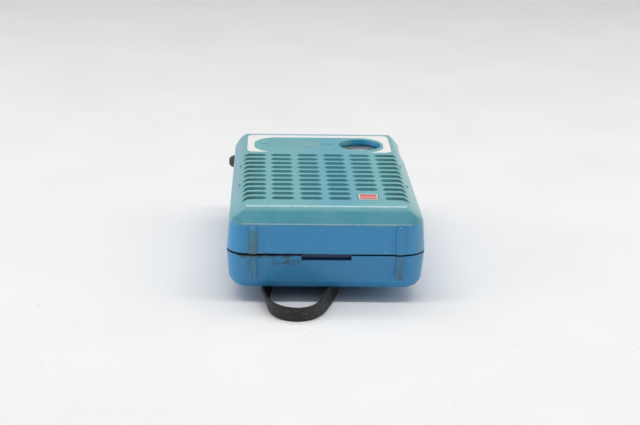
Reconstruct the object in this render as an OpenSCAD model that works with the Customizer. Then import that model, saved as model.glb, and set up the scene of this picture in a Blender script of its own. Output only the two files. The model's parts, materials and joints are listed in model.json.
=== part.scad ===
// Pocket transistor radio lying on its back on its own wrist strap.
// Millimetres. +Z points out of the front, +Y from the bottom end to the top end, +X to the right.
// The origin is on the surface the radio rests on, under the middle of its overall box.

/* [Case] */
// Width of the case at the parting line
case_w = 70; // [68:1:76]
// Length of the case from the bottom end to the top end
case_l = 105; // [104:1:112]
// Thickness of the case from the back face to the front face
case_h = 29.6; // [29.4:0.1:32]
// Height of the parting line above the back face
parting_z = 13.5; // [13:0.1:14]
// Thickness of the moulded walls
wall = 1.6; // [1.4:0.1:1.8]
// Radius of the upright corners
corner_r = 8; // [6:0.5:10]
// How far each wall leans in from the parting line
draft = 0.4; // [0.2:0.1:0.6]

/* [Bevels] */
// Height of the bevel around the front face
front_drop = 5.2; // [4.6:0.1:5.6]
// Width of the front bevel on the long sides
front_run_side = 5.9; // [5.6:0.1:6.8]
// Width of the front bevel on the ends
front_run_end = 5.4; // [5:0.1:6]
// Width of the front bevel on the top end
front_run_top = 3.6; // [3.4:0.1:4]
// Height of the bevel around the back face
back_drop = 3.4; // [3:0.1:3.8]
// Width of the back bevel on both ends
back_run = 3.5; // [3:0.1:4]
// Width of the back bevel along the sides
back_run_side = 6.2; // [5.6:0.1:6.4]

/* [Grille] */
// Number of slot columns
slot_cols = 6; // [4:1:6]
// Number of slot rows
slot_rows = 11; // [9:1:11]
// Spacing of the columns
slot_pitch_x = 10.1; // [9.6:0.1:10.2]
// Spacing of the rows
slot_pitch_y = 5.5; // [5:0.1:5.5]
// Length of a slot
slot_l = 8.2; // [7:0.1:8.3]
// Height of a slot
slot_h = 3.5; // [2.8:0.1:3.6]

/* [Dial and thumbwheels] */
// Distance of the dial window and both wheels above the middle of the case
wheel_y = 32.4; // [32.2:0.1:32.4]
// Sideways place of the dial window
dial_x = 16.3; // [16.1:0.1:16.4]
// Radius of the dial window opening
window_r = 7.5; // [7:0.1:8]
// Radius of the tuning wheel
tuning_r = 17.2; // [17:0.1:17.2]
// Radius of the volume wheel
volume_r = 8.3; // [8:0.1:8.6]
// How far the volume wheel stands out of the left side
volume_out = 1.0; // [0.8:0.1:1.6]

/* [Strap] */
// Width of the strap
strap_w = 5; // [4.8:0.1:5]
// Thickness of the strap
strap_t = 1; // [0.8:0.1:1]
// Height of the back face above the resting surface
case_lift = 4.8; // [4.8:0.1:6]

/* [Hidden] */
$fn = 64;
eps = 0.02;

// Colours
case_blue = [0.29, 0.56, 0.70];
case_teal = [0.45, 0.68, 0.73];
ivory = [0.93, 0.92, 0.88];
dark_plastic = [0.16, 0.16, 0.17];
steel = [0.72, 0.73, 0.74];
brass = [0.78, 0.62, 0.30];
copper = [0.70, 0.38, 0.20];

// Case places
half_w = case_w / 2;
half_l = case_l / 2;
parting_gap = 0.25;
rib_proud = 0.4;
rib_w = 2.8;
rib_x = 25.7;
notch_w = 17.5;
notch_h = 1.9;
lip_t = 0.8;
lip_clear = 0.25;
lip_up = 1.4;
flat_top = half_l - draft - front_run_top;
front_inside = case_h - wall;

// Grille places
row_near = -38;
badge_col = 4;
badge_rows = 2;
badge_w = 7.4;
badge_l = 6.8;
outer_slot_extra = 0.4;

// Top panel places
panel_w = 57;
panel_top = flat_top - 1.8;
panel_low = 21.7;
panel_l = panel_top - panel_low;
panel_r = 3;
panel_depth = 0.6;
plaque_x = -9.5;
plaque_w = 21;
plaque_l = 12;
plaque_y = 33.6;
plaque_depth = 0.5;
island_w = 50.8;
island_l = 21.8;
island_r = 9;
island_y = 32.2;

// Layers above the back face
board_z = 16.4;
board_t = 1.6;
board_top = board_z + board_t;
wheel_z = 21.4;
wheel_t = 2.6;
wheel_top = wheel_z + wheel_t;
dial_boss_r = 10;
dial_boss_t = 2;
dial_r = 9.6;
dial_t = 0.3;
lens_z = 26.8;
lens_t = 0.8;
lens_r = 8.2;
volume_x = -(half_w - draft) - volume_out + volume_r;
volume_z = 21.2;
volume_t = 2.5;
run_clear = 0.05;

// Loudspeaker
speaker_y = -9;
speaker_r = 25;
speaker_rim_z = 26.2;
basket_z = 18.6;
basket_r = 12;
magnet_r = 12;
magnet_z = 11;
cone_r = 21.6;
speaker_screw_r = 27;
speaker_screw_angles = [35, 145, 215, 325];

// Circuit board places
board_half_w = 31.8;
board_low = -21;
board_high = 49.2;
board_corner = 5.5;
board_posts = [[-28, 45], [-7, 46], [28.5, 7], [-29, 6], [29, -17], [-29, -17]];
post_r = 2.1;
screw_hole_r = 0.9;

// Parts on the board
rod_y = 45.6;
rod_z = 10.6;
rod_r = 4;
rod_l = 42;
can_w = 8;
can_h = 10.5;
can_places = [[-9, 34], [-14, 22], [-25, 17]];
osc_place = [-1, 25];
transistor_places = [[9, 13], [-3, 14], [-15, 11], [27, 15], [-20, 2], [20, 12]];
electrolytic_places = [[-25, -9], [-18, -17], [0.8, 32.2], [-17.5, -8.5]];
disc_places = [[-5, 8], [3, 8], [-21, 36], [-10, 13.5], [29, 43]];
resistor_places = [[-24, 8], [-26.5, 25], [14, 16], [-6, 18.5], [29, 30], [-19, 28.5]];
transformer_places = [[22.5, -12], [21.5, 2.2]];

// Battery
battery_x = -4;
battery_y = -34.7;
battery_w = 46.4;
battery_l = 25.4;
battery_z = 2.2;
battery_h = 16.7;
terminal_gap = 12.7;

// Wires inside the case
battery_wires = [
    [[24.4, -28, 10.6], [27.4, -27, 11.5], [28.4, -23, 13.5], [26.2, -18.6, 16.4]],
    [[24.4, -40.5, 10.6], [28.4, -39, 11.5], [30.4, -28, 13.5], [25.4, -20, 16.4]]];
speaker_wires = [
    [[-8, 2.6, 18.9], [-10, 5, 18.6], [-12, 6.5, 18.0]],
    [[8, 2.6, 18.9], [10, 5, 18.6], [12, 6.5, 18.0]]];
wire_r = 0.55;

// Earphone jack in the top end
jack_x = -14;
jack_z = 20.9;
jack_barrel_r = 2.8;
jack_bore_r = 1.78;
jack_bore_l = 12;

// Hinge of the two halves: hooks that turn about the outer edge of the parting line
hook_x = 24;
hook_w = 6;
hook_r_in = 2;
hook_r_out = 3.2;
hook_angle = 62;
hook_clear = 0.2;

// Strap anchor in the back face
pin_y = 45;
pin_z = 2.3;
pin_r = 0.9;
pocket_w = 7;
pocket_low = 36.5;
pocket_high = 48;
pocket_z = 4.5;
pocket_wall = 1;
crimp_y = 31;
crimp_l = 4;

// Route of the strap from its crimp, round the loop and back: x, y, how far it hangs above the surface,
// and the turn from flat to upright
strap_route = [
    [0, 32.5, 1.2, 0], [-1, 26, 0.5, 5], [-4, 18, 0.3, 30], [-8, 8, 0.1, 50],
    [-12.3, -4, 0, 57], [-16.1, -17, 0, 57], [-18.9, -30, 0, 57], [-20.6, -42, 0, 58],
    [-21.1, -50, 0, 63], [-20.6, -57, 0, 73], [-18.9, -63, 0, 83], [-15.9, -67, 0, 90],
    [-12.2, -68.8, 0, 90], [-8.6, -68.8, 0, 90], [-4.9, -66.8, 0, 87], [-2, -62.4, 0, 79],
    [0, -56, 0, 70], [1.8, -49, 0, 63], [3.7, -40, 0, 58], [5.2, -30, 0, 57],
    [6.2, -19, 0, 57], [6.4, -8, 0, 57], [5.6, 4, 0, 54], [3.9, 14, 0.3, 42],
    [1.9, 22, 1.2, 22], [0.6, 27, 2.1, 6], [0, 32.5, 2.3, 0]];
tab_route = [
    [0, 33.1, -3.1], [0, 36, -2.5], [0, 40, -0.6], [0, 43, 0.7], [0, 45, 0.85],
    [0, 46.05, 1.3], [0, 46.45, 2.3], [0, 46.05, 3.3], [0, 45, 3.75], [0, 43, 3.3],
    [0, 40, 1.3], [0, 36, -1.3], [0, 33.1, -2]];
strap_steps = 2;

// The overall box sets the origin
strap_reach = strap_t / 2 - min([for (p = smooth(strap_route, strap_steps)) p[1]]);
jack_out = 1;
case_x = ((half_w - draft + volume_out) - half_w) / 2;
case_y = (strap_reach - (half_l + jack_out)) / 2;

module at_case() {
    translate([case_x, case_y, case_lift]) children();
}

// ---- shared shapes ----

module plan(w, l, r) {
    square([w - 2 * r, l], center = true);
    square([w, l - 2 * r], center = true);
    for (x = [-1, 1], y = [-1, 1])
        translate([x * (w / 2 - r), y * (l / 2 - r)]) circle(r);
}

// Half outline of the case seen from one end, inset by the wall
function outline(half, low_run, run, inset) = [
    [half - draft - low_run - inset, inset],
    [half - draft - inset, back_drop + inset],
    [half - inset, parting_z],
    [half - draft - inset, case_h - front_drop - inset],
    [half - draft - run - inset, case_h - inset]];

function side_outline(inset) = outline(half_w, back_run_side, front_run_side, inset);

function end_outline(run, inset) = outline(half_l, back_run, run, inset);

function two_sides(points, mirrored) = concat(
    points,
    [for (i = [len(mirrored) - 1 : -1 : 0]) [-mirrored[i][0], mirrored[i][1]]]);

module case_form(inset) {
    intersection() {
        linear_extrude(case_h) plan(case_w - 2 * inset, case_l - 2 * inset, corner_r - inset);
        rotate([90, 0, 0]) linear_extrude(case_l, center = true)
            polygon(two_sides(side_outline(inset), side_outline(inset)));
        rotate([90, 0, 90]) linear_extrude(case_w, center = true)
            polygon(two_sides(end_outline(front_run_top, inset), end_outline(front_run_end, inset)));
    }
}

module slab(z_low, z_high) {
    translate([-case_w, -case_l, z_low]) cube([2 * case_w, 2 * case_l, z_high - z_low]);
}

module stadium(length, width) {
    square([length - width, width], center = true);
    for (side = [-1, 1])
        translate([side * (length - width) / 2, 0]) circle(width / 2);
}

module foot_rib(x, z_low, z_high, round_up) {
    reach = rib_proud + 1;
    r = rib_w / 2;
    z_from = round_up ? z_low : z_low + r;
    z_to = round_up ? z_high - r : z_high;
    translate([x - r, -half_l - rib_proud, z_from]) cube([rib_w, reach, z_to - z_from]);
    translate([x, -half_l - rib_proud, round_up ? z_to : z_from]) rotate([-90, 0, 0])
        cylinder(r = r, h = reach);
}

// Ring sector about the outer parting edge of the top end, from level down to an angle below it
module hook_sector(r_in, r_out, width, angle) {
    translate([-width / 2, half_l, parting_z])
        rotate([90, 0, 90]) rotate([0, 0, 180])
            rotate_extrude(angle = angle) polygon([[r_in, 0], [r_out, 0], [r_out, width], [r_in, width]]);
}

// Disc with straight knurls round its rim
module knurled_disc(r, height, teeth, depth) {
    step = 360 / teeth;
    linear_extrude(height) polygon([
        for (i = [0 : teeth - 1], part = [0.05, 0.45, 0.55, 0.95])
            let (rad = part > 0.5 ? r - depth : r)
                rad * [cos((i + part) * step), sin((i + part) * step)]]);
}

// ---- swept strap ----

function spline(a, b, c, d, t) =
    0.5 * (2 * b + (c - a) * t + (2 * a - 5 * b + 4 * c - d) * t * t
        + (3 * b - a - 3 * c + d) * t * t * t);

function smooth(p, steps) = let (last = len(p) - 1) concat(
    [for (i = [0 : last - 1], k = [0 : steps - 1])
        spline(p[max(i - 1, 0)], p[i], p[i + 1], p[min(i + 2, last)], k / steps)],
    [p[last]]);

function unit(v) = v / norm(v);

function place(p) = [p[0], p[1], p[2]];

function heading(p, i) =
    unit(place(p[min(i + 1, len(p) - 1)]) - place(p[max(i - 1, 0)]));

// Direction of the strap's width: flat along -X, turned upright by the angle
function width_way(p, i) = let (
    t = heading(p, i),
    v = [-cos(p[i][3]), 0, sin(p[i][3])])
    unit(v - (v * t) * t);

function ring(p, i, w, t) = let (
    across = width_way(p, i),
    thick = cross(heading(p, i), across),
    edge = t / 4)
    [for (c = [[w / 2, t / 2 - edge], [w / 2 - edge, t / 2], [edge - w / 2, t / 2], [-w / 2, t / 2 - edge],
        [-w / 2, edge - t / 2], [edge - w / 2, -t / 2], [w / 2 - edge, -t / 2], [w / 2, edge - t / 2]])
        place(p[i]) + c[0] * across + c[1] * thick];

module swept_strip(p, w, t) {
    sides = 8;
    last = len(p) - 1;
    points = [for (i = [0 : last]) each ring(p, i, w, t)];
    walls = [for (i = [0 : last - 1], k = [0 : sides - 1]) let (n = (k + 1) % sides) each [
        [i * sides + k, i * sides + n, (i + 1) * sides + n],
        [i * sides + k, (i + 1) * sides + n, (i + 1) * sides + k]]];
    near_end = [[for (k = [sides - 1 : -1 : 0]) k]];
    far_end = [[for (k = [0 : sides - 1]) last * sides + k]];
    polyhedron(points, concat(walls, near_end, far_end), convexity = 8);
}

// ---- back half ----

module back_case() {
    color(case_blue) at_case() difference() {
        union() {
            difference() {
                intersection() {
                    case_form(0);
                    slab(0, parting_z - parting_gap);
                }
                case_form(wall);
            }
            joint_lip();
            for (side = [-1, 1])
                foot_rib(side * rib_x, back_drop + 0.6, parting_z - parting_gap, false);
            strap_pocket_walls();
        }
        for (side = [-1, 1]) translate([side * hook_x, 0, 0])
            hook_sector(hook_r_in - hook_clear, hook_r_out + hook_clear,
                hook_w + 2 * hook_clear, hook_angle + 5);
        translate([-notch_w / 2, -half_l - 1, parting_z - parting_gap - notch_h])
            cube([notch_w, 1 + wall, notch_h + 1]);
        strap_pocket();
    }
}

// Lip inside the rim that lines the two halves up
module joint_lip() {
    intersection() {
        difference() {
            union() {
                intersection() {
                    case_form(wall - eps);
                    slab(parting_z - 2.6, parting_z - parting_gap);
                }
                intersection() {
                    case_form(wall + lip_clear);
                    slab(parting_z - parting_gap - eps, parting_z + lip_up);
                }
            }
            case_form(wall + lip_clear + lip_t);
        }
        translate([-half_w, -half_l, 0]) cube([case_w, case_l - 16, case_h]);
    }
}

module strap_pocket_walls() {
    translate([-pocket_w / 2 - pocket_wall, pocket_low - pocket_wall, 0.5])
        cube([pocket_w + 2 * pocket_wall, pocket_high - pocket_low + 2 * pocket_wall,
            pocket_z + pocket_wall - 0.5]);
}

module strap_pocket() {
    translate([-pocket_w / 2, pocket_low, -1])
        cube([pocket_w, pocket_high - pocket_low, pocket_z + 1]);
    translate([0, pin_y, pin_z]) rotate([0, 90, 0])
        cylinder(r = pin_r, h = pocket_w + 1.2, center = true);
}

module strap_pin() {
    color(steel) at_case() translate([0, pin_y, pin_z]) rotate([0, 90, 0])
        cylinder(r = pin_r, h = pocket_w + 1.2, center = true);
}

module strap_tab() {
    route = [for (p = tab_route) [p[0], p[1], p[2], 0]];
    color(dark_plastic) at_case() swept_strip(route, strap_w, strap_t - 0.1);
}

module strap_crimp() {
    inner_w = strap_w + 0.1;
    color(steel) at_case() difference() {
        translate([-inner_w / 2 - 0.4, crimp_y, -4.2]) cube([inner_w + 0.8, crimp_l, 3.3]);
        translate([-inner_w / 2, crimp_y - 1, -3.75]) cube([inner_w, crimp_l + 2, 2.4]);
    }
}

// Height of the middle of the strap where it rests on the surface, turned by the angle
function resting_z(turn) = strap_w / 2 * sin(turn) + strap_t / 2 * cos(turn) - case_lift;

module wrist_strap() {
    route = [for (p = strap_route) [p[0], p[1], p[2] + resting_z(p[3]), p[3]]];
    color(dark_plastic) at_case() swept_strip(smooth(route, strap_steps), strap_w, strap_t);
}

// ---- front half ----

module front_case() {
    color(case_teal) at_case() difference() {
        union() {
            difference() {
                intersection() {
                    case_form(0);
                    slab(parting_z, case_h);
                }
                case_form(wall);
            }
            for (side = [-1, 1])
                foot_rib(side * rib_x, parting_z, case_h - front_drop - 0.7, true);
            intersection() {
                case_form(wall / 2);
                front_inner_features();
            }
        }
        grille_slots();
        linear_extrude(2 * case_h) badge_plan(badge_w, badge_l);
        translate([0, 0, case_h - panel_depth]) linear_extrude(2) panel_plan();
        translate([plaque_x - plaque_w / 2, plaque_y - plaque_l / 2, case_h - plaque_depth])
            cube([plaque_w, plaque_l, 2]);
        dial_opening();
        wheel_slots();
        for (p = board_posts) translate([p[0], p[1], board_top - 1])
            cylinder(r = screw_hole_r, h = 8);
        for (a = speaker_screw_angles) speaker_post_place(a) translate([0, 0, speaker_rim_z - 1])
            cylinder(r = screw_hole_r, h = 2.6);
        translate([jack_x, half_l - 4, jack_z]) rotate([-90, 0, 0]) cylinder(r = jack_barrel_r, h = 8);
    }
}

module front_inner_features() {
    for (p = board_posts) translate([p[0], p[1], board_top])
        cylinder(r = post_r, h = case_h - wall / 2 - board_top);
    for (a = speaker_screw_angles) speaker_post_place(a)
        translate([0, 0, speaker_rim_z + 0.5]) cylinder(r = 1.8, h = case_h - wall / 2 - speaker_rim_z - 0.5);
    translate([dial_x, wheel_y, lens_z - 0.2])
        cylinder(r = window_r + wall, h = front_inside - lens_z + 0.4);
    translate([half_w - 3.6, wheel_y - 15, 19])
        cube([3.6, 30, case_h - wall - 19]);
    for (x = [-16, 8]) translate([x - 1, -46, battery_z + battery_h + 0.1])
        cube([2, 8, front_inside - battery_z - battery_h]);
    for (side = [-1, 1]) translate([side * hook_x, 0, 0]) {
        hook_sector(hook_r_in, hook_r_out, hook_w, hook_angle);
        translate([-hook_w / 2, half_l - hook_r_out, parting_z])
            cube([hook_w, hook_r_out - hook_r_in, 5]);
        translate([-hook_w / 2, half_l - hook_r_out, parting_z + 1.4])
            cube([hook_w, hook_r_out, 3.6]);
    }
}

module speaker_post_place(angle) {
    translate([speaker_screw_r * cos(angle), speaker_y + speaker_screw_r * sin(angle), 0]) children();
}

module grille_slots() {
    for (c = [0 : slot_cols - 1], r = [0 : slot_rows - 1])
        if (c != badge_col || r >= badge_rows) {
            outer = c == 0 || c == slot_cols - 1;
            length = outer ? slot_l + outer_slot_extra : slot_l;
            x = (c - (slot_cols - 1) / 2) * slot_pitch_x;
            translate([x, row_near + r * slot_pitch_y, case_h / 2])
                linear_extrude(case_h) stadium(length, slot_h);
        }
}

function badge_x() = (badge_col - (slot_cols - 1) / 2) * slot_pitch_x;

function badge_y() = row_near + slot_pitch_y / 2 - 0.6;

module badge_plan(w, l) {
    translate([badge_x(), badge_y()]) square([w, l], center = true);
}

module panel_plan() {
    difference() {
        translate([0, panel_top - panel_l / 2]) plan(panel_w, panel_l, panel_r);
        translate([0, island_y]) plan(island_w, island_l, island_r);
    }
}

module dial_opening() {
    translate([dial_x, wheel_y, lens_z]) {
        cylinder(r = window_r, h = case_h);
        translate([0, 0, -1]) cylinder(r = lens_r, h = 1 + lens_t);
    }
    translate([dial_x, wheel_y, case_h - 1.2]) cylinder(r1 = window_r, r2 = window_r + 0.7, h = 1.2 + eps);
}

module wheel_slots() {
    slot_gap = 0.35;
    scoop_r = 71;
    scoop_deep = 1.4;
    scoop_y = wheel_y + 2.3;
    scoop_z = 19.2;
    translate([-half_w - 2, wheel_y - 7.3, volume_z - slot_gap])
        cube([6.5, 14.6, volume_t + 2 * slot_gap]);
    translate([half_w - 4, wheel_y - 10, wheel_z - slot_gap])
        cube([6, 20, wheel_t + 2 * slot_gap]);
    translate([half_w - draft + scoop_r - scoop_deep, scoop_y, scoop_z])
        cylinder(r = scoop_r, h = 7.6, $fn = 180);
}

module top_panel() {
    color(ivory) at_case() translate([0, 0, case_h - panel_depth]) linear_extrude(panel_depth) panel_plan();
}

// Plain ribbed plate where a name would be
module name_plaque() {
    ribs = 7;
    rib_pitch = plaque_l / ribs;
    low = case_h - plaque_depth;
    color(case_teal) at_case() translate([plaque_x - plaque_w / 2, plaque_y - plaque_l / 2, low]) {
        cube([plaque_w, plaque_l, 0.25]);
        for (i = [0 : ribs - 1]) translate([0.4, (i + 0.25) * rib_pitch, 0.2])
            cube([plaque_w - 0.8, rib_pitch / 2, 0.25]);
    }
}

module badge_border() {
    color(ivory) at_case() translate([0, 0, case_h - 1.4]) linear_extrude(1.2) difference() {
        badge_plan(badge_w, badge_l);
        badge_plan(badge_w - 1.6, badge_l - 1.4);
    }
}

module badge_plate() {
    color([0.85, 0.30, 0.32]) at_case() translate([0, 0, case_h - 1.4]) linear_extrude(1.1)
        badge_plan(badge_w - 1.6, badge_l - 1.4);
}

module dial_lens() {
    color([0.9, 0.95, 0.95, 0.4]) at_case() translate([dial_x, wheel_y, lens_z])
        cylinder(r = lens_r, h = lens_t);
}

module grille_cloth() {
    color(dark_plastic) at_case() translate([0, 0, front_inside - 0.25]) linear_extrude(0.25) difference() {
        translate([0, -10.8]) square([50, 62], center = true);
        for (p = board_posts) translate([p[0], p[1]]) circle(post_r + 0.3);
        for (a = speaker_screw_angles)
            translate([speaker_screw_r * cos(a), speaker_y + speaker_screw_r * sin(a)]) circle(2.1);
        for (x = [-16, 8]) translate([x, -42]) square([2.6, 8.6], center = true);
    }
}

// ---- loudspeaker ----

module at_speaker() {
    at_case() translate([0, speaker_y, 0]) children();
}

module speaker_frame() {
    tab_r = 2.6;
    tab_t = 1.1;
    rim_low = speaker_rim_z - 0.6;
    color(steel) at_speaker() difference() {
        union() {
            rotate_extrude() polygon([
                [0, basket_z], [basket_r + 0.6, basket_z], [speaker_r - 1.6, rim_low], [speaker_r, rim_low],
                [speaker_r, rim_low + tab_t], [speaker_r - 2, rim_low + tab_t],
                [basket_r + 0.3, basket_z + 0.7], [0, basket_z + 0.7]]);
            for (a = speaker_screw_angles) rotate([0, 0, a]) translate([speaker_r - 1, 0, rim_low]) {
                translate([0, -tab_r, 0]) cube([speaker_screw_r - speaker_r + 1, 2 * tab_r, tab_t]);
                translate([speaker_screw_r - speaker_r + 1, 0, 0]) cylinder(r = tab_r, h = tab_t);
            }
        }
        for (a = speaker_screw_angles) rotate([0, 0, a])
            translate([speaker_screw_r, 0, rim_low - 1]) cylinder(r = 1.1, h = tab_t + 2);
    }
}

module speaker_cone() {
    color([0.24, 0.22, 0.2]) at_speaker() rotate_extrude() polygon([
        [6, 20.5], [cone_r, 26], [speaker_r - 2, 26.72], [speaker_r, 26.72],
        [speaker_r, 27.1], [speaker_r - 2, 27.1], [cone_r, 26.5], [6, 21]]);
}

module speaker_dust_cap() {
    color([0.18, 0.17, 0.16]) at_speaker() rotate_extrude() polygon([
        [0, 20.4], [6, 20.4], [6, 21.2], [4.4, 22.3], [2.2, 22.9], [0, 23.1]]);
}

module speaker_magnet() {
    color([0.35, 0.36, 0.38]) at_speaker() {
        translate([0, 0, magnet_z]) cylinder(r = magnet_r - 1, h = 1.2);
        translate([0, 0, magnet_z + 1.2]) cylinder(r = magnet_r, h = 5);
        translate([0, 0, magnet_z + 6.2]) cylinder(r = magnet_r - 1, h = basket_z - magnet_z - 6.2);
    }
}

module speaker_screws() {
    color(steel) at_case() for (a = speaker_screw_angles) speaker_post_place(a) {
        translate([0, 0, speaker_rim_z - 1.8]) cylinder(r = 1.7, h = 1.2);
        translate([0, 0, speaker_rim_z - 0.6]) cylinder(r = 0.85, h = 1.8);
    }
}

// ---- circuit board and what is on it ----

module circuit_board() {
    board_l = board_high - board_low;
    color([0.62, 0.45, 0.24]) at_case() translate([0, 0, board_z]) difference() {
        translate([0, (board_high + board_low) / 2, 0])
            linear_extrude(board_t) plan(2 * board_half_w, board_l, board_corner);
        translate([0, speaker_y, -1]) cylinder(r = magnet_r + 0.8, h = 4);
        translate([-6, board_low - 1, -1]) cube([12, 8, 4]);
        translate([dial_x, wheel_y, -1]) cylinder(r = 4.2, h = 4);
        translate([volume_x, wheel_y, -1]) cylinder(r = 2.9, h = 4);
        for (p = board_posts) translate([p[0], p[1], -1]) cylinder(r = 1.1, h = 4);
    }
}

module board_screws() {
    color(steel) at_case() for (p = board_posts) translate([p[0], p[1], board_z]) {
        translate([0, 0, -1.3]) cylinder(r = 2, h = 1.3);
        cylinder(r = 0.85, h = board_t + 5);
    }
}

module ferrite_rod() {
    color([0.25, 0.25, 0.27]) at_case() translate([-2, rod_y, rod_z]) rotate([0, 90, 0])
        cylinder(r = rod_r, h = rod_l, center = true);
}

module aerial_coil() {
    color(copper) at_case() translate([-2, rod_y, rod_z]) rotate([0, 90, 0]) difference() {
        union() {
            translate([0, 0, -15.6]) cylinder(r = rod_r + 0.8, h = 8.2);
            translate([0, 0, 6]) cylinder(r = rod_r + 0.8, h = 6);
        }
        cylinder(r = rod_r, h = rod_l, center = true);
    }
}

module rod_holders() {
    color(ivory) at_case() for (x = [-19.3, 15.5]) difference() {
        translate([x - 1.5, rod_y - rod_r - 1, rod_z - rod_r - 1])
            cube([3, 2 * rod_r + 1.8, board_z - rod_z + rod_r + 1]);
        translate([x, rod_y, rod_z]) rotate([0, 90, 0]) cylinder(r = rod_r, h = 4, center = true);
    }
}

module tuning_capacitor() {
    side = 16.4;
    color([0.85, 0.85, 0.8, 0.9]) at_case() difference() {
        union() {
            translate([dial_x - side / 2, wheel_y - side / 2, 6.8]) cube([side, side, board_z - 6.8]);
            translate([dial_x, wheel_y, board_z]) cylinder(r = 3.9, h = 2);
        }
        translate([dial_x, wheel_y, 9]) cylinder(r = 3 + run_clear, h = 20);
    }
}

module capacitor_trimmers() {
    color(brass) at_case() for (x = [-1, 1], y = [-1, 1])
        translate([dial_x + x * 6.5, wheel_y + y * 6.5, 5.9]) cylinder(r = 1.6, h = 0.9);
}

module volume_control() {
    color(dark_plastic) at_case() difference() {
        union() {
            translate([volume_x, wheel_y, 11.6]) cylinder(r = 4.2, h = board_z - 11.6);
            translate([volume_x, wheel_y, board_z]) cylinder(r = 2.7, h = 2);
        }
        translate([volume_x, wheel_y, 13]) cylinder(r = 1.9 + run_clear, h = 10);
    }
}

module shielded_can(p) {
    translate([p[0], p[1], board_z - can_h / 2]) difference() {
        cube([can_w, can_w, can_h], center = true);
        translate([0, 0, -can_h / 2 - 1]) cylinder(r = 2, h = 2.5);
    }
}

module tuning_core(p) {
    translate([p[0], p[1], board_z - can_h + 0.3]) difference() {
        cylinder(r = 1.95, h = 1.2);
        translate([-1.4, -0.25, -1]) cube([2.8, 0.5, 1.5]);
    }
}

module oscillator_coil() {
    color(steel) at_case() shielded_can(osc_place);
}

module oscillator_core() {
    color("firebrick") at_case() tuning_core(osc_place);
}

module if_cans() {
    color(steel) at_case() for (p = can_places) shielded_can(p);
}

module if_core_yellow() {
    color("gold") at_case() tuning_core(can_places[0]);
}

module if_core_white() {
    color("white") at_case() tuning_core(can_places[1]);
}

module if_core_black() {
    color("black") at_case() tuning_core(can_places[2]);
}

module transistors() {
    color([0.6, 0.61, 0.63]) at_case() for (p = transistor_places) translate([p[0], p[1], board_z - 9.6]) {
        cylinder(r = 2.6, h = 6.4);
        translate([0, 0, 5.8]) cylinder(r = 3.1, h = 0.6);
    }
}

module transistor_leads() {
    color(brass) at_case() for (p = transistor_places, x = [-1.2, 0, 1.2])
        translate([p[0] + x, p[1], board_z - 3.2]) cylinder(r = 0.22, h = 3.2, $fn = 16);
}

module electrolytic_capacitors() {
    color([0.2, 0.35, 0.6]) at_case() for (p = electrolytic_places) translate([p[0], p[1], board_z - 11.5]) {
        cylinder(r = 3, h = 10.6);
        translate([0, 0, 10.6]) cylinder(r = 2.4, h = 0.9);
    }
}

module ceramic_capacitors() {
    color([0.78, 0.5, 0.25]) at_case() for (p = disc_places) {
        translate([p[0], p[1], board_z - 5.6]) rotate([90, 0, 0]) cylinder(r = 3.1, h = 1.4, center = true);
        for (x = [-1.5, 1.5]) translate([p[0] + x, p[1], board_z - 3.4])
            cylinder(r = 0.25, h = 3.4, $fn = 16);
    }
}

module resistors() {
    color([0.72, 0.56, 0.38]) at_case() for (p = resistor_places)
        translate([p[0] - 1.4, p[1], board_z - 8.2]) cylinder(r = 1.1, h = 6.4);
}

module resistor_leads() {
    color(steel) at_case() for (p = resistor_places) {
        translate([p[0] - 1.4, p[1], board_z - 1.8]) cylinder(r = 0.25, h = 1.8, $fn = 16);
        translate([p[0] - 1.4, p[1], board_z - 8.9]) cylinder(r = 0.25, h = 0.7, $fn = 16);
        translate([p[0] - 1.65, p[1] - 0.25, board_z - 9.4]) cube([3.3, 0.5, 0.5]);
        translate([p[0] + 1.4, p[1], board_z - 8.9]) cylinder(r = 0.25, h = 8.9, $fn = 16);
    }
}

module detector_diode() {
    color([0.8, 0.45, 0.25]) at_case() translate([-19, 11, board_z - 1.6]) {
        rotate([90, 0, 0]) cylinder(r = 1, h = 4.2, center = true);
        rotate([90, 0, 0]) cylinder(r = 0.25, h = 6.5, center = true, $fn = 16);
        for (y = [-3, 3]) translate([0, y, 0]) cylinder(r = 0.25, h = 1.6, $fn = 16);
    }
}

module transformer_cores() {
    color([0.42, 0.42, 0.44]) at_case() for (p = transformer_places)
        translate([p[0] - 7, p[1] - 2.4, board_z - 11]) difference() {
            cube([14, 4.8, 11]);
            for (x = [2, 8.4]) translate([x, -1, 2.4]) cube([3.6, 7, 6.2]);
        }
}

module transformer_windings() {
    color([0.82, 0.7, 0.3]) at_case() for (p = transformer_places)
        translate([p[0], p[1], board_z - 11]) difference() {
            translate([-4.9, -5, 2.5]) cube([9.8, 10, 6]);
            translate([-1.4, -2.4, 0]) cube([2.8, 4.8, 11]);
        }
}

// ---- battery ----

module battery() {
    color([0.2, 0.24, 0.32]) at_case()
        translate([battery_x - battery_w / 2, battery_y, battery_z + battery_h / 2])
            rotate([90, 0, 90]) linear_extrude(battery_w) plan(battery_l, battery_h, 1.6);
}

module at_terminals() {
    at_case() translate([battery_x + battery_w / 2, battery_y, battery_z + battery_h / 2])
        rotate([0, 90, 0]) children();
}

module battery_terminals() {
    color(steel) at_terminals() {
        translate([0, -terminal_gap / 2, 0]) cylinder(r = 2.8, h = 2.6);
        translate([0, terminal_gap / 2, 0]) cylinder(r = 3.7, h = 2.6);
    }
}

module battery_snap() {
    color([0.12, 0.12, 0.12]) at_terminals() translate([0, 0, 2.6]) linear_extrude(2)
        rotate([0, 0, 90]) stadium(23, 11);
}

module wire(points, r) {
    swept_strip(smooth([for (p = points) [p[0], p[1], p[2], 0]], 2), 2 * r, 2 * r);
}

module battery_lead_red() {
    color("firebrick") at_case() wire(battery_wires[0], wire_r);
}

module battery_lead_black() {
    color("black") at_case() wire(battery_wires[1], wire_r);
}

module speaker_leads() {
    color("goldenrod") at_case() for (w = speaker_wires) wire(w, 0.35);
}

// ---- earphone jack ----

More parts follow.
